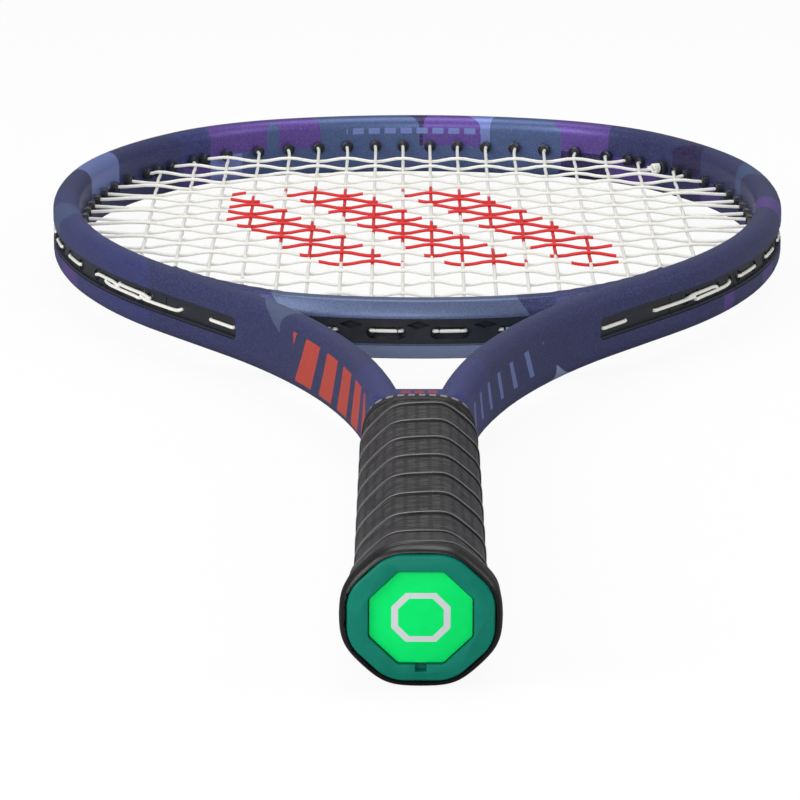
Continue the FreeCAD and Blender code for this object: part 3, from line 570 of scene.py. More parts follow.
PAINT = frame_paint()
PAINT.on(tube)
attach(tube, "racket")
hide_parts("frame_tube")


# ---- Throat bridge ----
# A second, shorter carbon tube that closes the head between the arms. It is laid into the mould
# with the frame, so it runs on smoothly into both arms, and it is painted with it.

BRIDGE_WIDTH, BRIDGE_BEAM, BRIDGE_CORNER = 0.011, 0.0202, 0.0009
HALF_BRIDGE = BRIDGE_WIDTH / 2
BRIDGE_SECTION = ((0.0055, -0.0044), (0.0055, 0.0054), (0.0030, 0.0101), (-0.0026, 0.0101),
                  (-0.0055, 0.0070), (-0.0055, -0.0070), (-0.0026, -0.0101), (0.0025, -0.0101))
BRIDGE = Line(Vector((0, EDGE.end.y - HALF_BRIDGE, 0)), [
    arc(-THROAT_RADIUS - HALF_BRIDGE, THROAT_TURN), arc(-CORNER_RADIUS - HALF_BRIDGE, CORNER_TURN)], -1)
SWELL_FROM, SWELL_STEPS = 0.042, 8  # from here the bridge swells to the height of the arms
SWELL_TALLER, SWELL_THINNER = 0.99 * BEAM / BRIDGE_BEAM, 0.5
SWELL_EDGE = 0.0004  # from the head's edge to the line that stays in place
THROAT_STRIP_HEIGHT, THROAT_STRIP_THICK, THROAT_STRIP_REACH = 0.0082, 0.0020, 0.046
RECESS_GAP = 0.0001


def swell():
    """Sweep on into the arms while the section grows taller and thinner, in place by the head."""
    run = (BRIDGE.length - SWELL_FROM) / SWELL_STEPS
    thinner, taller = SWELL_THINNER ** (1 / SWELL_STEPS), SWELL_TALLER ** (1 / SWELL_STEPS)
    for step in range(SWELL_STEPS):
        end = SWELL_FROM + run * (step + 1)
        sweep(BRIDGE, end - run, end)
        resize((thinner, thinner, taller), BRIDGE.station(end, SWELL_EDGE - HALF_BRIDGE))


def bridge_layer(name, low, high, height, reach):
    """Closed layer that follows the bridge on both sides, between two offsets from its middle."""
    piece = outline(name, across(BRIDGE, rectangle(low, high, height / 2)))
    sweep(BRIDGE, 0, reach)
    mirrored(piece)
    return piece


bridge = outline("throat_bridge_body", across(BRIDGE, BRIDGE_SECTION))
round_corners(BRIDGE_CORNER, 3)
sweep(BRIDGE, 0, SWELL_FROM)
swell()
mirrored(bridge)
strip_low = HALF_BRIDGE - THROAT_STRIP_THICK
combine(bridge, [bridge_layer("recess", strip_low - RECESS_GAP, BRIDGE_WIDTH,
                              THROAT_STRIP_HEIGHT + 2 * RECESS_GAP, THROAT_STRIP_REACH + RECESS_GAP)])
smooth(bridge)
PAINT.on(bridge)
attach(bridge, "racket")
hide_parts("throat_bridge")


# ---- String holes ----
# The holes are drilled through the hoop and the bridge in the mould's pattern: the main strings
# run along the racket and the cross strings from side to side, spaced wider towards the edge.

MAIN_COUNT, CROSS_COUNT = 18, 19
TIP_PITCH, TIP_SPREAD = 0.0112, 0.000135  # of the main strings at the tip, from the middle one
THROAT_PITCH, THROAT_SPREAD = 0.0103, 0.00019
TIP_CROSS_GAP, THROAT_CROSS_GAP = 0.0321, 0.0447  # from the ends of the opening to the end crosses
CROSS_SPREAD, CROSS_LEAN = 0.161, 0.0435  # crosses lie wider towards both ends, most at the throat
BRIDGE_MAINS = 8
CORNER_LEANS = (-0.15, 0.28, 0.69)  # how far the next holes lean along their strings
SIDE_ENDS = ((0.29, 17.75), (1.53, 16.47))  # the last two mains end at these crosses, or between
STRING_OFFSET = 0.00434  # of a string in the groove from the tube's centre line
LOOP_SINK = 0.0006
BARREL_STAND = 0.0025
WIDEST = EDGE.where(lambda spot: spot[1].y, 0, EDGE.length)


class Hole:
    """A string hole, from its entry in the head opening outwards."""

    def __init__(self, spot, direction=None, through_bridge=False):
        self.entry, outward = spot
        self.direction = direction or outward
        self.through_bridge = through_bridge
        self.takes_tie = False
        self.mouth = self.entry - self.direction * BARREL_STAND
        depth = BRIDGE_WIDTH / abs(self.direction.y) - LOOP_SINK
        if not through_bridge:
            depth = zero_of(self.short_of_string, 0.0, 5 * TUBE_WIDTH)
        self.exit = self.entry + self.direction * depth
        self.place = 0.0 if through_bridge else tube_place(self.exit)

    def short_of_string(self, depth):
        """How far a depth in the hole is short of the string in the groove."""
        return STRING_OFFSET - beside_tube(self.entry + self.direction * depth)[1]


def edge_across(x, low, high, sign):
    """The head's edge at a place across the racket, between two places where x rises or falls."""
    return EDGE.at(math.copysign(EDGE.where(lambda spot: sign * (abs(x) - spot[0].x), low, high), x))


def edge_beside(index, side):
    """The head's edge on one side, at the height of a cross string or between two, from the tip."""
    step = 2 * index / (CROSS_COUNT - 1) - 1
    share = (1 + step * (1 - CROSS_SPREAD) + CROSS_SPREAD * step ** 3 + CROSS_LEAN * (step ** 2 - 1)) / 2
    y = TIP_EDGE - TIP_CROSS_GAP - share * (TIP_EDGE - TIP_CROSS_GAP - EDGE.end.y - THROAT_CROSS_GAP)
    return EDGE.at(side * EDGE.where(lambda spot: spot[0].y - y, 0, EDGE.length))


def main_holes(step):
    """Tip hole and throat hole of the main string that is this many steps from the middle."""
    side = math.copysign(1, step)
    rank = int(abs(step) - BRIDGE_MAINS / 2)
    if rank >= len(CORNER_LEANS):
        return [Hole(edge_beside(index, side)) for index in SIDE_ENDS[rank - len(CORNER_LEANS)]]
    tip = edge_across(step * (TIP_PITCH + TIP_SPREAD * abs(step)), 0, WIDEST, 1)
    throat = edge_across(step * (THROAT_PITCH + THROAT_SPREAD * abs(step)), WIDEST, EDGE.length, -1)
    along = (throat[0] - tip[0]).normalized()
    if abs(step) < BRIDGE_MAINS / 2:
        return Hole(tip), Hole(throat, along, True)
    return Hole(tip), Hole(throat, (throat[1] + along * CORNER_LEANS[rank]).normalized())


MAINS = [main_holes(index - (MAIN_COUNT - 1) / 2) for index in range(MAIN_COUNT)]
CROSSES = [[Hole(edge_beside(index, side)) for side in (-1, 1)] for index in range(CROSS_COUNT)]
MAIN_TIES = ((MAINS[0][1], MAINS[1][1]), (MAINS[-1][1], MAINS[-2][1]))
CROSS_TIES = ((CROSSES[0][1], CROSSES[1][1]), (CROSSES[-1][0], CROSSES[-2][0]))
for _, shared in MAIN_TIES + CROSS_TIES:
    shared.takes_tie = True
BRIDGE_HOLES = [throat for _, throat in MAINS if throat.through_bridge]
HOOP_HOLES = [hole for pair in MAINS + CROSSES for hole in pair if not hole.through_bridge]
HOOP_HOLES.sort(key=lambda hole: hole.place)


# ---- Grommet strips ----
# Nylon channels pressed into the groove round the hoop. Their barrels line the string holes and
# stand a little into the head, so that no string touches the carbon.

STRIP_BASE_LOW, STRIP_BASE_TOP = 0.0025, 0.0037
STRIP_HALF_HEIGHT, STRIP_RAIL, RAIL_RISE = 0.0036, 0.0008, 0.0010
STRIP_GAP, STRIP_END_GAP = 0.0004, 0.0001
BARREL, TIE_BARREL = (0.0021, 0.00078), (0.0030, 0.0007)  # radius, and inset of the collars
BARREL_ROUND, COLLAR_RUN = 0.2, 0.0015
HOOP_BARREL = BARREL_STAND + TUBE_WIDTH - GROOVE_DEPTH


def moulded_nylon():
    """Black moulded nylon with the faint sheen and grain of its tool."""
    finish = Finish("grommet_nylon", Coat_Weight=0.1)
    black = colour(28, 31, 38)
    finish.clouds(240, black, tuple(part * 1.6 for part in black[:3]) + (1.0,), 3.0)
    finish.bump(finish.noise(1800), 0.00003, 0.4)
    return finish


NYLON = moulded_nylon()


def add_barrels(piece, holes, length):
    """Join a barrel in each of these holes to a strip, with collars and fine ridges on it."""
    barrels = []
    for hole in holes:
        radius, inset = TIE_BARREL if hole.takes_tie else BARREL
        bpy.ops.object.select_all(action="DESELECT")
        bpy.ops.mesh.primitive_cylinder_add(vertices=14, radius=radius, depth=length,
                                            location=(length / 2, 0, 0), rotation=(0, -math.pi / 2, 0))
        barrels.append(placed("barrel"))
        edit()
        bpy.ops.mesh.select_mode(type="FACE")
        bpy.ops.mesh.bevel(offset=radius * BARREL_ROUND, segments=2)
        bpy.ops.mesh.inset(thickness=inset)
        push((COLLAR_RUN, 0, 0))
        bpy.ops.mesh.select_mode(type="VERT")
        leave_edit()
        barrels[-1].location = hole.mouth
        barrels[-1].rotation_euler = (0, 0, math.atan2(hole.direction.y, hole.direction.x))
        bpy.ops.object.transform_apply()
    pick(piece, *barrels)
    bpy.ops.object.join()


def strip_edge(number, side):
    """Where a strip begins (side 1) or ends (side -1), midway between a hole and the one before."""
    return (HOOP_HOLES[number - 1].place + HOOP_HOLES[number].place + side * STRIP_GAP) / 2


def both_halves(upper):
    """Section of a strip, from the corners of its upper half."""
    return upper + tuple((offset, -height) for offset, height in upper[::-1])


def hoop_strip(name, first, after):
    """Strip over the right-hand holes numbered from first up to the one before after."""
    inner, rail = STRIP_HALF_HEIGHT - STRIP_RAIL, STRIP_BASE_TOP + RAIL_RISE
    channel = both_halves(((STRIP_BASE_LOW, STRIP_HALF_HEIGHT), (rail, STRIP_HALF_HEIGHT), (rail, inner),
                           (STRIP_BASE_TOP, inner)))
    start, end = strip_edge(first, 1), GROOVE_END - STRIP_END_GAP
    if after < len(HOOP_HOLES):
        end = strip_edge(after, -1)
    piece = outline(name, across(TUBE, channel, start))
    sweep(TUBE, start, end)
    close_piece()
    if after == len(HOOP_HOLES):
        round_ends(piece, end, STRIP_HALF_HEIGHT)
    return piece


def mirror_copy(piece, name):
    """The same piece for the left side, with its own mesh."""
    pick(piece)
    bpy.ops.object.duplicate()
    twin = placed(name)
    edit()
    select_all()
    resize((-1, 1, 1), (0, 0, 0))
    face_outwards()
    return twin


after = len(HOOP_HOLES)
for strip_name, hole_count in (("corner", 3), ("lower", 4), ("side", 11)):
    first = after - hole_count
    right = hoop_strip(strip_name + "_strip_body_right", first, after)
    left = mirror_copy(right, strip_name + "_strip_body_left")
    left_holes = HOOP_HOLES[len(HOOP_HOLES) - after:len(HOOP_HOLES) - first]
    for side, piece, side_holes in (("right", right, HOOP_HOLES[first:after]), ("left", left, left_holes)):
        add_barrels(piece, side_holes, HOOP_BARREL)
        smooth(piece, 40)
        NYLON.on(piece)
        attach(piece, "racket")
        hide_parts(strip_name + "_grommet_strip_" + side)
    after = first


# ---- Bumper guard ----
# The longest strip, over the tip. Its edges fold out over the hoop as a skid that takes the
# scrapes when the racket touches the ground.

GUARD_SEAT, GUARD_TOP = HALF_TUBE + 0.00005, HALF_TUBE + 0.001
GUARD_HALF_HEIGHT = 0.0075
GUARD_SECTION = both_halves((
    (STRIP_BASE_LOW, STRIP_HALF_HEIGHT), (GUARD_SEAT, STRIP_HALF_HEIGHT), (GUARD_SEAT, GUARD_HALF_HEIGHT),
    (GUARD_TOP - 0.0004, GUARD_HALF_HEIGHT - 0.0002), (GUARD_TOP, GUARD_HALF_HEIGHT - 0.0008),
    (GUARD_TOP, STRIP_HALF_HEIGHT - STRIP_RAIL), (STRIP_BASE_TOP, STRIP_HALF_HEIGHT - STRIP_RAIL)))

guard = outline("bumper_guard_body", across(TUBE, GUARD_SECTION))
sweep(TUBE, 0, strip_edge(after, -1))
mirrored(guard)
add_barrels(guard, HOOP_HOLES[len(HOOP_HOLES) - after:after], HOOP_BARREL)
smooth(guard, 40)
NYLON.on(guard)
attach(guard, "racket")
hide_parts("bumper_guard")


# ---- Throat strip ----
# Nylon strip let into the handle side of the bridge. Each slot shows the loop between two main
# strings, and small diamonds are sunk between the slots.

SLOT_LENGTH, SLOT_HEIGHT, SLOT_DEPTH, SLOT_DROP = 0.0132, 0.0040, 0.0018, 0.0005
NOTCH_WIDTH, NOTCH_HEIGHT, NOTCH_DEPTH, NOTCH_OFFSET = 0.0083, 0.0030, 0.0017, 0.0021
NOTCH_FLOOR, NOTCH_TOOL, NOTCH_FLARE = 0.7, 0.0020, 1.45  # the tool's floor, rise and widening
BRIDGE_PAIRS = [BRIDGE_HOLES[index:index + 2] for index in range(0, BRIDGE_MAINS, 2)]


def slot_tool(left, right):
    """Round-ended block that runs from inside the strip out past its face."""
    chord = (right.exit - left.exit).normalized()
    outward = right_of(chord)
    start = (left.exit + right.exit) / 2 + outward * (LOOP_SINK - SLOT_DEPTH) - Vector((0, 0, SLOT_DROP))
    run, rise = chord * SLOT_LENGTH / 2, Vector((0, 0, SLOT_HEIGHT / 2))
    tool = outline("slot", [start - run - rise, start + run - rise, start + run + rise, start - run + rise])
    bpy.ops.mesh.edge_face_add()
    bpy.ops.mesh.bevel(offset=SLOT_HEIGHT * 0.49, segments=6, affect="VERTICES")
    select_all()
    push(outward * 2 * SLOT_DEPTH)
    close_piece()
    return tool


def diamond_tool(x):
    """Pyramid with a flat top, pointing into the strip's face."""
    place = math.asin(x / (THROAT_RADIUS + HALF_BRIDGE)) * (THROAT_RADIUS + HALF_BRIDGE)
    outward = BRIDGE.at(place)[1]
    start = BRIDGE.station(place, HALF_BRIDGE, NOTCH_OFFSET) - outward * NOTCH_DEPTH
    wide, tall = right_of(outward) * -NOTCH_WIDTH / 2, Vector((0, 0, NOTCH_HEIGHT / 2))
    tool = outline("diamond", [start - wide, start - tall, start + wide, start + tall])
    resize((NOTCH_FLOOR,) * 3, start)
    bpy.ops.mesh.edge_face_add()
    push(outward * NOTCH_TOOL)
    resize((NOTCH_FLARE,) * 3, start + outward * NOTCH_TOOL)
    close_piece()
    return tool


throat_strip = bridge_layer("throat_strip_body", strip_low, HALF_BRIDGE, THROAT_STRIP_HEIGHT,
                            THROAT_STRIP_REACH)
pair_middles = [(left.exit.x + right.exit.x) / 2 for left, right in BRIDGE_PAIRS]
notch_places = [(one + two) / 2 for one, two in zip(pair_middles, pair_middles[1:])]
combine(throat_strip, [slot_tool(*pair) for pair in BRIDGE_PAIRS] + [diamond_tool(x) for x in notch_places])
add_barrels(throat_strip, BRIDGE_HOLES, BARREL_STAND + BRIDGE_WIDTH - SLOT_DEPTH)
smooth(throat_strip, 30)
NYLON.on(throat_strip)
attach(throat_strip, "racket")
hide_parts("throat_grommet_strip")


# ---- Strings ----
# Two lengths of co-polyester string, 1.28 mm thick. One makes all the mains and one all the
# crosses, woven over and under them, and each lies in the groove from one hole to the next.

STRING_RADIUS = 0.00064
MAIN_SWING, CROSS_SWING = 0.0012, 0.00136  # how far the curve's points stand aside at a crossing
LANE = 0.0009  # mains and crosses keep to the two sides of the groove
LONE_TURNS = range(2, 16)  # after these strings, no other one shares the groove
LANE_RUN, GROOVE_STEP = 0.003, 0.008
HOLE_RUN, MOUTH_RUN = 0.0015, 0.001
TIE_OFFSET = 0.00135
END_SHARE, END_CLEARANCE = 0.01, 0.0015  # strings cross no nearer than this to their holes
STENCIL_MIDDLE, STENCIL_REACH = 0.505, 0.072  # place along the racket, and reach from there
BAR_PITCH, BAR_WIDTH, BARS_REACH = 0.041, 0.027, 0.061
BAR_SLANT = (0.9, 0.42)
UP = Vector((0, 0, 1))


def string_white():
    """Pale grey-white string, with three broad slanted bars stencilled in red on the string bed."""
    finish = Finish("string_polyester", Specular_IOR_Level=0.3)
    white = finish.clouds(500, colour(224, 223, 216), colour(240, 240, 234))
    red = finish.mix(finish.noise(500), colour(204, 30, 36), colour(226, 56, 56))
    along = finish.y - STENCIL_MIDDLE
    slant = BAR_SLANT[0] * finish.x + BAR_SLANT[1] * along
    bars = (((slant + 1.5 * BAR_PITCH) % BAR_PITCH) < BAR_WIDTH) * (abs(slant) < BARS_REACH)
    bed = (abs(along) < STENCIL_REACH) * (abs(finish.x) < STENCIL_REACH)
    finish.surface(Base_Color=finish.mix(bars * bed, white, red))
    return finish


STRING = string_white()


def groove_run(first, last, lane):
    """Control points of a string that lies in the groove from one hole to the next."""
    way = 1 if last.place > first.place else -1
    length = abs(last.place - first.place) - 2 * LANE_RUN
    count = max(1, math.ceil(length / GROOVE_STEP))
    places = [first.place + way * (LANE_RUN + length * step / count) for step in range(count + 1)]
    return [first.exit - first.direction * HOLE_RUN, first.exit,
            *(TUBE.station(place, STRING_OFFSET, lane) for place in places),
            last.exit, last.exit - last.direction * HOLE_RUN]


def tied_end(end, shared, lane):
    """From the knot in the head out through a shared hole and along the groove to an end hole."""
    lift = UP * math.copysign(TIE_OFFSET, lane)
    knot = shared.mouth - shared.direction * MOUTH_RUN
    return [knot + lift, shared.exit + lift] + groove_run(shared, end, lane)[2:]


def loop(first, last, lane):
    """From one string to the next: straight across the bridge, or along the hoop's groove."""
    if first.through_bridge:
        inner = [hole.exit - hole.direction * MOUTH_RUN for hole in (first, last)]
        return [inner[0], first.exit, last.exit, inner[1]]
    return groove_run(first, last, lane)


def crossing(main, cross):
    """Where a main string meets a cross string, or None outside the head's weave."""
    (tip, throat), (left, right) = main, cross
    share = (left.mouth.y - throat.mouth.y) / (tip.mouth.y - throat.mouth.y)
    x = throat.mouth.x + (tip.mouth.x - throat.mouth.x) * share
    inside = left.mouth.x + END_CLEARANCE < x < right.mouth.x - END_CLEARANCE
    if inside and END_SHARE < share < 1 - END_SHARE:
        return Vector((x, left.mouth.y, 0))
    return None


def string_route(strings, crossings, ties, lane, swing):
    """Control points of one length of string, from its first knot to its last."""
    points = tied_end(*ties[0], lane)
    for number, string in enumerate(strings):
        side = number % 2
        bends = [spot + UP * swing * (-1) ** (number + index)
                 for index, spot in enumerate(crossings[number]) if spot]
        points += [string[1 - side].mouth, *bends[::1 if side else -1], string[side].mouth]
        if number < len(strings) - 1:
            points += loop(string[side], strings[number + 1][side], 0 if number in LONE_TURNS else lane)
    return points + tied_end(*ties[1], lane)[::-1]


def string_piece(name, points):
    """Round string drawn as one smooth curve and turned into a mesh."""
    curve = bpy.data.curves.new(name, "CURVE")
    curve.dimensions = "3D"
    curve.bevel_depth = STRING_RADIUS
    curve.bevel_resolution = 2
    curve.use_fill_caps = True
    curve.resolution_u = 4
    spline = curve.splines.new("NURBS")
    spline.points.add(len(points) - 1)
    for control, point in zip(spline.points, points):
        control.co = (*point, 1)
    spline.order_u = 3
    spline.use_endpoint_u = True
    piece = bpy.data.objects.new(name, curve)
    bpy.context.scene.collection.objects.link(piece)
    pick(piece)
    bpy.ops.object.convert(target="MESH")
    bpy.ops.object.shade_smooth()
    return bpy.context.object


WEAVE = [[crossing(main, cross) for cross in CROSSES] for main in MAINS]
for string_name, route in (
        ("main", string_route(MAINS, WEAVE, MAIN_TIES, -LANE, -MAIN_SWING)),
        ("cross", string_route(CROSSES, list(zip(*WEAVE)), CROSS_TIES, LANE, CROSS_SWING))):
    piece = string_piece(string_name + "_string_body", route)
    STRING.on(piece)
    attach(piece, "racket")
    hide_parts(string_name + "_string")


# ---- Knots ----
# Each string is tied off at both ends, where it shares a barrel with another run of string. The
# knot is drawn tight against that barrel, and the tail is cut short.

KNOT_RADIUS, KNOT_LENGTH, KNOT_STAND = 0.0016, 0.0026, 0.0018
KNOT_POINTS, TURN_POINTS = 20, 8  # of the whole coil, and of one turn
KNOT_TAIL = ((0.001, 0.001), (0.003, 0.0015))  # how far the tail's points lie back and aside


def knot_points(shared):
    """Coil drawn round the string in front of a barrel, with a short cut tail."""
    beside, onward = shared.direction.cross(UP), shared.direction
    middle = shared.mouth - onward * KNOT_STAND
    points = []
    for step in range(KNOT_POINTS + 1):
        angle = math.tau * step / TURN_POINTS
        ring = beside * math.cos(angle) + UP * math.sin(angle)
        points.append(middle + ring * KNOT_RADIUS + onward * (step / KNOT_POINTS - 0.5) * KNOT_LENGTH)
    return points + [points[-1] - onward * back - beside * aside for back, aside in KNOT_TAIL]


for string_name, ties in (("main", MAIN_TIES), ("cross", CROSS_TIES)):
    piece, other = [string_piece(string_name + "_knots_body", knot_points(shared)) for _, shared in ties]
    pick(piece, other)
    bpy.ops.object.join()
    STRING.on(piece)
    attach(piece, "racket")
    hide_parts(string_name + "_string_knots")


# ---- Handle foam ----
# Stiff polyurethane foam, moulded round both shafts to the octagon of the handle. The cap and the
# grip hide all of it.

def pallet_foam():
    finish = Finish("pallet_foam", Roughness=0.85)
    cells = finish.cells(finish.place, 1400)["Distance"]
    finish.surface(Base_Color=finish.mix(cells, colour(70, 68, 64), colour(96, 93, 86)))
    finish.bump(cells, 0.0001, 0.6)
    return finish


pallet_foam().on(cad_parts["handle_pallet"])


# ---- Butt cap ----
# Green moulded cap, pushed over the end of the foam and stapled. It flares under the grip, and its
# face is a bare ring round the recess for the end plate.

BUTT_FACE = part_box("butt_cap")[0].y
CAP_RIM = ((0.0, 0.0062), (0.0002, 0.0070), (0.0005, 0.0075), (0.0010, 0.0078))  # height, growth
CAP_FLARE = ((0.005, 0.0082), (0.013, 0.0062), (0.021, 0.0034), (0.028, 0.0012), (0.036, 0.0006))
CAP_CORNER, SOCKET_FLOOR, CAP_TOP = 0.0036, 0.009, 0.037
PLATE_WIDTH, PLATE_HEIGHT, PLATE_THICK = 0.0263, 0.0240, 0.0020
PLATE_CLEARANCE, PLATE_LEDGE = 0.0003, 0.0022
CUT_PAST, RECESS_CORNER, CAP_SOFTNESS = 0.001, 0.0006, 0.0003
NOTCH_HALF, NOTCH_TOP = 0.00145, 0.0026


def octagon(width, height, y):
    """Corners of the handle's octagon at a place along the racket."""
    wide, tall = width / 2, height / 2
    quarter = ((wide * TOP_FLAT_SHARE, tall), (wide, tall * SIDE_FLAT_SHARE))
    corners = quarter + tuple((x, -z) for x, z in quarter[::-1])
    corners += tuple((-x, z) for x, z in corners[::-1])
    return [Vector((x, y, z)) for x, z in corners]


def octagon_block(name, width, height, first, last, corner=0.0):
    """Closed octagonal block from one place along the racket to another."""
    piece = outline(name, octagon(width, height, first))
    if corner:
        round_corners(corner, 4)
    push(Vector((0, last - first, 0)))
    close_piece()
    return piece


def soften(piece, width):
    """Round all sharp edges of a moulded piece a little."""
    modify(piece, "BEVEL", width=width, segments=2, limit_method="ANGLE", angle_limit=math.radians(50))


def cap_shell():
    """Outside of the cap: the octagon carried up from the face, swelling and shrinking on its way."""
    stations = CAP_RIM + CAP_FLARE
    width, height = HANDLE_WIDTH + stations[0][1], HANDLE_HEIGHT + stations[0][1]
    cap = outline("butt_cap_body", octagon(width, height, BUTT_FACE))
    round_corners(CAP_CORNER, 5)
    for (low, before), (high, after) in zip(stations, stations[1:]):
        push(Vector((0, high - low, 0)))
        size = ((HANDLE_WIDTH + after) / (HANDLE_WIDTH + before), 1,
                (HANDLE_HEIGHT + after) / (HANDLE_HEIGHT + before))
        resize(size, (0, BUTT_FACE + high, 0))
    close_piece()
    return cap


def cap_plastic():
    """Deep green plastic, a little cloudy, with a fine moulded grain."""
    finish = Finish("cap_plastic", Specular_IOR_Level=0.15)
    finish.clouds(160, colour(0, 104, 88), colour(8, 124, 104), 4.0, (0.3, 0.55), 0.6)
    finish.bump(finish.noise(1400, 3.0), 0.00004, 0.4)
    return finish


cap = cap_shell()
gap = 2 * PLATE_CLEARANCE
notch_foot = -PLATE_HEIGHT / 2 - PLATE_LEDGE
combine(cap, [
    octagon_block("recess", PLATE_WIDTH + gap, PLATE_HEIGHT + gap, BUTT_FACE - CUT_PAST, PLATE_THICK,
                  RECESS_CORNER),
    octagon_block("opening", PLATE_WIDTH - 2 * PLATE_LEDGE, PLATE_HEIGHT - 2 * PLATE_LEDGE,
                  PLATE_THICK - CUT_PAST, SOCKET_FLOOR + CUT_PAST),
    octagon_block("socket", HANDLE_WIDTH, HANDLE_HEIGHT, SOCKET_FLOOR, CAP_TOP),
    block("notch", Vector((-NOTCH_HALF, BUTT_FACE - CUT_PAST, notch_foot)),
          Vector((NOTCH_HALF, NOTCH_TOP, notch_foot + 2 * PLATE_LEDGE)))])
soften(cap, CAP_SOFTNESS)
smooth(cap)
cap_plastic().on(cap)
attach(cap, "racket")
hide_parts("butt_cap")


# ---- Staples ----
# Two staples of steel wire hold the cap, one above and one below. They are driven through its
# skirt into the foam, and the grip covers them.

def staple_steel():
    finish = Finish("staple_steel", Metallic=1.0)
    finish.clouds(900, colour(170, 172, 176), colour(205, 206, 208), 2.0, (0.28, 0.48))
    return finish


staple_steel().on(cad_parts["butt_cap_staples"])


# ---- End plate ----
# Bright green plastic plate that snaps into the cap's face with two tabs. A blade in the notch
# prises it out, and weights can be put behind it.

PLATE_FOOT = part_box("butt_plate")[0].y
TAB_WIDTH, TAB_THICK, TAB_LENGTH = 0.0090, 0.0012, 0.005
PLATE_CORNER, PLATE_SOFTNESS = 0.0005, 0.00025
RING_WIDTH, RING_BAND, RING_SLANT = 0.0150, 0.0017, 0.73


def plate_tabs():
    """Two tabs on the inner face that grip the ledge behind the plate."""
    reach = PLATE_HEIGHT / 2 - PLATE_LEDGE - PLATE_CLEARANCE
    near, far = PLATE_FOOT + PLATE_THICK / 2, PLATE_FOOT + PLATE_THICK + TAB_LENGTH
    return [block("tab", Vector((-TAB_WIDTH / 2, near, low)), Vector((TAB_WIDTH / 2, far, low + TAB_THICK)))
            for low in (-reach, reach - TAB_THICK)]


def plate_plastic():
    """Bright green plastic with an octagonal ring printed on it in grey."""
    finish = Finish("plate_plastic", Specular_IOR_Level=0.08)
    green = finish.clouds(300, colour(0, 214, 98), colour(2, 226, 112), 3.0, (0.33, 0.48))
    x, z = abs(finish.x), abs(finish.z)
    size = finish.math("MAXIMUM", x, z * (HANDLE_WIDTH / HANDLE_HEIGHT))
    size = finish.math("MAXIMUM", size, (x + z) * RING_SLANT)
    ring = (size > RING_WIDTH / 2 - RING_BAND) * (size < RING_WIDTH / 2)
    finish.surface(Base_Color=finish.mix(ring, green, colour(196, 200, 204)))
    finish.bump(finish.noise(2200), 0.00002, 0.4)
    return finish


plate = octagon_block("butt_plate_body", PLATE_WIDTH, PLATE_HEIGHT, PLATE_FOOT, PLATE_FOOT + PLATE_THICK,
                      PLATE_CORNER)
combine(plate, plate_tabs(), "UNION")
soften(plate, PLATE_SOFTNESS)
smooth(plate)
plate_plastic().on(plate)
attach(plate, "butt_plate")
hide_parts("butt_plate")


# ---- Grip ----
# One strip of cushioned polyurethane, wound round the handle from the cap upwards. Each turn laps
# over the one before in a fine ridge above a dark gap, and rows of small slits let it breathe.

GRIP_START, GRIP_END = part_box("grip_wrap")[0].y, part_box("grip_wrap")[1].y
GRIP_PITCH = 0.020
GRIP_COVER = 0.0019  # thickness of the strip and its bed of glue
GRIP_ROLL = 0.0030  # length over which both ends roll inwards
ROLL_RINGS = (0, 0.08, 0.2, 0.4, 0.65, 1.0)
START_DROP, END_DROP, ROUND_DROP = 0.0014, 0.0006, 0.0006
ROUND_FROM, ROUND_TO = GRIP_END - 0.016, GRIP_END - 0.003  # the octagon turns to a rounded box here
ROUND_POWER = 3.2  # of the superellipse that the rounded box is
SOFT_POWER, HARD_POWER = 12, 16  # of the octagon's edges, sharper from the cap upwards
HARDENING = GRIP_START + 0.004, GRIP_START + 0.030
SEAM_RISE = GRIP_START + 0.014  # the seams reach their full depth here
STRIP_DEPTH = 0.0024
PLAIN_TOP = 0.0045  # the strip is smooth up to here, with no slits and no painted highlights
SLIT_PITCH, SLIT_RUN = 0.0028, 0.0010  # from slit to slit along the strip
ROW_PITCH, ROW_WIDTH, ROWS = 0.0024, 0.0014, (0.0022, 0.0190)  # from row to row across it
# Across the strip, the seam gap gets painted shade and the ridge beside it a painted highlight.
SEAM_SHADE, RIDGE_HIGHLIGHT = (0.0005, 0.0184), (0.0006, 0.0012)
HIGHLIGHT_TICKS, HIGHLIGHT_TICK_GAP = (GRIP_END - 0.0046, GRIP_END - 0.0003), 0.0011  # painted highlights: short pale ticks by the tape
SEAM_PROFILE = ((0.0, -0.0010), (0.0002, -0.0007), (0.0004, 0.0), (0.0006, 0.0003), (0.0010, 0.00045),
                (0.0016, 0.0004), (0.0026, 0.0), (0.0170, 0.0), (0.0188, 0.0), (0.0191, -0.0001),
                (0.0194, -0.0005), (0.0196, -0.0010), (0.020, -0.0010))


def share_of(value, low, high):
    """How far a value has come from low to high, between 0 and 1."""
    return min(1.0, max(0.0, (value - low) / (high - low)))


def growth_at(y):
    """How much wider than the foam the cap and handle are at a place."""
    stations = CAP_RIM[-1:] + CAP_FLARE
    return stations[0][1] + sum((after - before) * share_of(y - BUTT_FACE, low, high)
                                for (low, before), (high, after) in zip(stations, stations[1:]))


def round_at(y):
    """How far the handle has gone from an octagon, at 0, to the rounded box over both shafts, at 1."""
    share = share_of(y, ROUND_FROM, ROUND_TO)
    return share * share * (3 - 2 * share)


def roll_at(y):
    """How far the strip's outside lies inwards near its two ends."""
    depth = ROUND_DROP * round_at(y)
    for distance, drop in ((y - GRIP_START, START_DROP), (GRIP_END - y, END_DROP)):
        depth += drop * (1 - math.sqrt(1 - (1 - share_of(distance, 0, GRIP_ROLL)) ** 2))
    return depth


def soft_reach(sides, power):
    """Distance to straight sides with soft corners, from the share of each that a unit reaches."""
    return sum(side ** power for side in sides) ** (-1 / power)


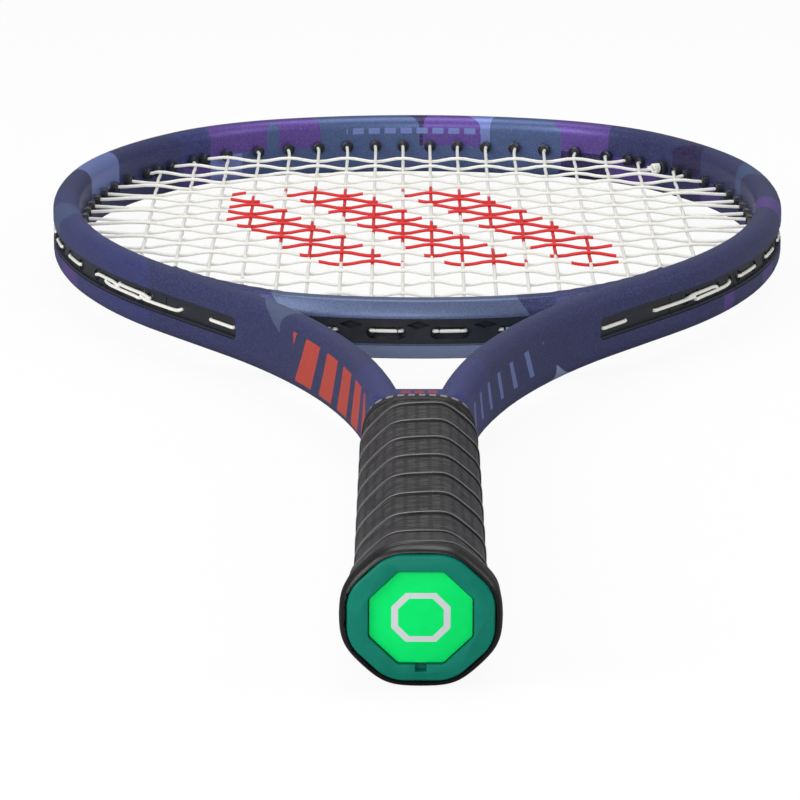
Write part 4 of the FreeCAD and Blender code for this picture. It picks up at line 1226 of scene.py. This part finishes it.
def handle_reach(turn, growth=0.0, power=15, boxed=0.0):
    """Distance from the axis to the handle's outside, in a direction turned round it from below."""
    wide, tall = (HANDLE_WIDTH + growth) / 2, (HANDLE_HEIGHT + growth) / 2
    slope = Vector((tall * (1 - SIDE_FLAT_SHARE), wide * (1 - TOP_FLAT_SHARE))).normalized()
    x, z = abs(math.sin(turn * math.tau)), abs(math.cos(turn * math.tau))
    slanted = (x * slope.x + z * slope.y) / (wide * TOP_FLAT_SHARE * slope.x + tall * slope.y)
    octagon_reach = soft_reach((x / wide, z / tall, slanted), power)
    return octagon_reach * (1 - boxed) + soft_reach((x / wide, z / tall), ROUND_POWER) * boxed


def around(turn, reach):
    """Place across the handle, at a distance from the axis and a turn round it from below."""
    return Vector((math.sin(turn * math.tau) * reach, 0, -math.cos(turn * math.tau) * reach))


def perimeter_table(count=720):
    """Distance run round the foam's octagon up to each of many equal turns."""
    ends = [around(step / count, handle_reach(step / count)) for step in range(count + 1)]
    lengths = [0.0]
    for before, after in zip(ends, ends[1:]):
        lengths.append(lengths[-1] + (after - before).length)
    return lengths


def wound(name, profile, start, pitch, turns):
    """A strip's profile screwed up a round mandrel, ready to press on to the handle."""
    piece = outline(name, [Vector((HANDLE_WIDTH / 2 + rise, start + place, 0)) for place, rise in profile],
                    closed=False)
    modify(piece, "SCREW", axis="Y", screw_offset=pitch, iterations=turns, steps=120, render_steps=120,
           use_merge_vertices=True, merge_threshold=1e-6)
    return piece


def press_on(piece):
    """Move a round winding on to the handle, and mark each point's place along and across the strip."""
    table = perimeter_table()
    winding = piece.data.attributes.new("winding", "FLOAT_VECTOR", "POINT")
    for vertex in piece.data.vertices:
        x, y, z = vertex.co
        turn = math.atan2(x, -z) / math.tau % 1
        growth = growth_at(y) + 2 * (GRIP_COVER - roll_at(y))
        power = SOFT_POWER + (HARD_POWER - SOFT_POWER) * share_of(y, *HARDENING)
        rise = (math.hypot(x, z) - HANDLE_WIDTH / 2) * share_of(y, GRIP_START, SEAM_RISE)
        reach = handle_reach(turn, growth, power, round_at(y)) + rise
        vertex.co = around(turn, reach) + Vector((0, y, 0))
        step, share = divmod(turn * (len(table) - 1), 1)
        run, after = table[int(step):int(step) + 2]
        across_strip = y - GRIP_START + GRIP_PITCH * (turn + 0.25)
        winding.data[vertex.index].vector = (run + (after - run) * share, across_strip, 0)


def trim_ends(piece):
    """Cut the round winding square at both ends, with finer rings where the ends roll inwards."""
    pick(piece)
    edit()
    for y, side in ((GRIP_START, -1), (GRIP_END, 1)):
        for share in ROLL_RINGS:
            select_all()
            bpy.ops.mesh.bisect(plane_co=(0, y - side * GRIP_ROLL * share, 0), plane_no=(0, side, 0),
                                clear_outer=share == 0)
    select_all()
    bpy.ops.mesh.remove_doubles(threshold=1e-6)
    leave_edit()


def thicken(piece, thickness):
    """Give a winding its wall, inwards from the face that it has, and close it all round."""
    face_outwards()
    top = max(piece.data.polygons, key=lambda face: face.center.z)
    modify(piece, "SOLIDIFY", thickness=thickness, offset=-1 if top.normal.z > 0 else 1)
    face_outwards()


def grip_polyurethane():
    """Black cushioned strip with rows of short punched slits, smooth at the butt, with painted highlights
    in pale stripes above.
    """
    finish = Finish("grip_polyurethane", Coat_Weight=0.05, Coat_Roughness=0.35)
    spot = finish.node("ShaderNodeAttribute", attribute_name="winding")["Vector"]
    run, place, _ = finish.parts(spot)
    place = place % GRIP_PITCH
    above_rim = finish.y > PLAIN_TOP
    slits = ((run % SLIT_PITCH) < SLIT_RUN) * above_rim * ((place % ROW_PITCH) < ROW_WIDTH)
    slits = slits * (place > ROWS[0]) * (place < ROWS[1])
    seam = (place < SEAM_SHADE[0]) + (place > SEAM_SHADE[1])
    ridge = (place > RIDGE_HIGHLIGHT[0]) * (place < RIDGE_HIGHLIGHT[1])
    drawn = finish.node("ShaderNodeMapping", {"Vector": spot, "Scale": (0.3, 1.0, 1.0)})["Vector"]
    sheen_streaks = finish.node("ShaderNodeTexNoise", {"Vector": drawn, "Scale": 560, "Detail": 2.0})["Fac"]
    # Painted highlights: pale stripes along the strip above the butt on the black strip, in place of the
    # sheen of its embossed surface.
    leather = finish.mix((4.0 * sheen_streaks - 1.5) * above_rim, colour(6, 6, 8), colour(66, 62, 66))
    # Painted highlight: a pale band on the ridge where each turn laps over the one before.
    leather = finish.mix(ridge * above_rim, leather, colour(104, 100, 102))
    # Painted highlights in short pale ticks near the tape, where the embossed strip catches the light.
    highlight_ticks = (finish.y > HIGHLIGHT_TICKS[0]) * (finish.y < HIGHLIGHT_TICKS[1]) * ((run % SLIT_PITCH) > HIGHLIGHT_TICK_GAP)
    leather = finish.mix(highlight_ticks, leather, colour(140, 136, 138))
    # Painted shade: the punched slits and the gap under each lapped edge are painted near black.
    leather = finish.mix(finish.math("MAXIMUM", slits, seam), leather, colour(1, 1, 2))
    finish.surface(Base_Color=leather, Roughness=0.26 + 0.3 * sheen_streaks)
    finish.bump(0.5 * sheen_streaks - slits, 0.0003, 0.8)
    return finish


grip_turns = math.ceil((GRIP_END - GRIP_START) / GRIP_PITCH) + 2
grip = wound("grip_wrap_body", SEAM_PROFILE, GRIP_START - GRIP_PITCH * 1.5, GRIP_PITCH, grip_turns)
trim_ends(grip)
press_on(grip)
thicken(grip, STRIP_DEPTH)
smooth(grip, 50)
grip_polyurethane().on(grip)
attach(grip, "racket")
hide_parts("grip_wrap")


# ---- Finishing tape ----
# Thin black vinyl tape, stuck round the top of the grip in two turns. It keeps the strip from
# unwinding.

BAND_START = 0.0022  # the tape that shows starts this far up from the end of all of it
TAPE_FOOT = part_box("finishing_tape")[0].y + BAND_START
TAPE_DEPTH = 0.0012
TAPE_PROFILE = ((0.0, -0.0006), (0.0002, 0.0002), (0.0004, 0.0004), (0.0020, 0.0004), (0.0022, 0.0),
                (0.0024, 0.0), (0.0026, 0.0004), (0.0044, 0.0004), (0.0046, 0.0002), (0.0048, -0.0006))


def tape_vinyl():
    """Smooth black tape, slightly scuffed along both turns."""
    finish = Finish("tape_vinyl")
    finish.clouds(600, colour(6, 6, 8), colour(18, 17, 20), 3.0)
    finish.bump(finish.noise(600, 3.0), 0.00008, 0.5)
    return finish


tape = wound("finishing_tape_body", TAPE_PROFILE, TAPE_FOOT, 0, 1)
press_on(tape)
thicken(tape, TAPE_DEPTH)
smooth(tape, 50)
tape_vinyl().on(tape)
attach(tape, "racket")
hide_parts("finishing_tape")


# ---- Studio ----
# A pale table under the racket, soft lamps on both sides and above, and a long lens in front of
# the butt cap that looks along the handle to the head.

def floor_paper():
    """White paper that shows as plain white to the camera apart from a faint shadow."""
    finish = Finish("floor_paper", Roughness=0.9)
    rays = finish.node("ShaderNodeLightPath")
    paper = finish.mix(finish.noise(40), colour(236, 236, 236), colour(242, 242, 242))
    # In reflections the paper is painted mid grey, a painted dim reflection of the floor in place of a
    # white one.
    finish.surface(Base_Color=finish.mix(rays["Is Glossy Ray"], paper, colour(120, 120, 124)))
    seen = finish.math("MAXIMUM", rays["Is Camera Ray"], rays["Is Transmission Ray"])
    white = finish.node("ShaderNodeEmission", {"Color": (1, 1, 1, 1)})["Emission"]
    shader = Value(finish, finish.shader.outputs["BSDF"])
    mixed = finish.node("ShaderNodeMixShader", {0: 0.92 * seen, 1: shader, 2: white})["Shader"]
    finish.feed(finish.nodes["Material Output"].inputs["Surface"], mixed)
    return finish


def softbox(name, place, target, size, power):
    """Square lamp that faces a target."""
    bpy.ops.object.light_add(type="AREA", location=place)
    lamp = bpy.context.object
    lamp.name = name
    lamp.data.size = size
    lamp.data.energy = power
    lamp.rotation_euler = (Vector(target) - Vector(place)).to_track_quat("-Z", "Y").to_euler()


bpy.ops.object.select_all(action="DESELECT")
bpy.ops.mesh.primitive_plane_add(size=30, location=(0, 0, cad_size[0].z))
floor = bpy.context.object
floor.name = "floor"
floor_paper().on(floor)

world = bpy.data.worlds.new("studio")
bpy.context.scene.world = world
world.use_nodes = True
sky, wires = world.node_tree.nodes, world.node_tree.links
level = sky.new("ShaderNodeMapRange")
level.inputs["To Min"].default_value = 0.22
level.inputs["To Max"].default_value = 1.0
wires.new(sky.new("ShaderNodeLightPath").outputs["Is Camera Ray"], level.inputs["Value"])
wires.new(level.outputs["Result"], sky["Background"].inputs["Strength"])
sky["Background"].inputs["Color"].default_value = (1, 1, 1, 1)

softbox("left_softbox", (-1.4, -0.5, 0.9), (0, 0.3, 0), 1.0, 18)
softbox("right_softbox", (1.4, 0.1, 0.9), (0, 0.3, 0), 0.9, 7)
softbox("top_softbox", (0, 0.7, 1.6), (0, 0.3, 0), 1.2, 14)
softbox("front_softbox", (-0.2, -1.6, 0.8), (0, 0.1, 0), 0.9, 14)

CAMERA_PLACE = (-0.00354, -0.97736, 0.29703)
CAMERA_TURN = (76.184, -0.09, 0.13)  # in degrees

bpy.ops.object.camera_add(location=CAMERA_PLACE)
camera = bpy.context.object
camera.rotation_euler = [math.radians(turn) for turn in CAMERA_TURN]
camera.data.sensor_width = 36
camera.data.lens = 181.3
camera.data.clip_end = 100
bpy.context.scene.camera = camera
bpy.context.scene.view_settings.view_transform = "Standard"
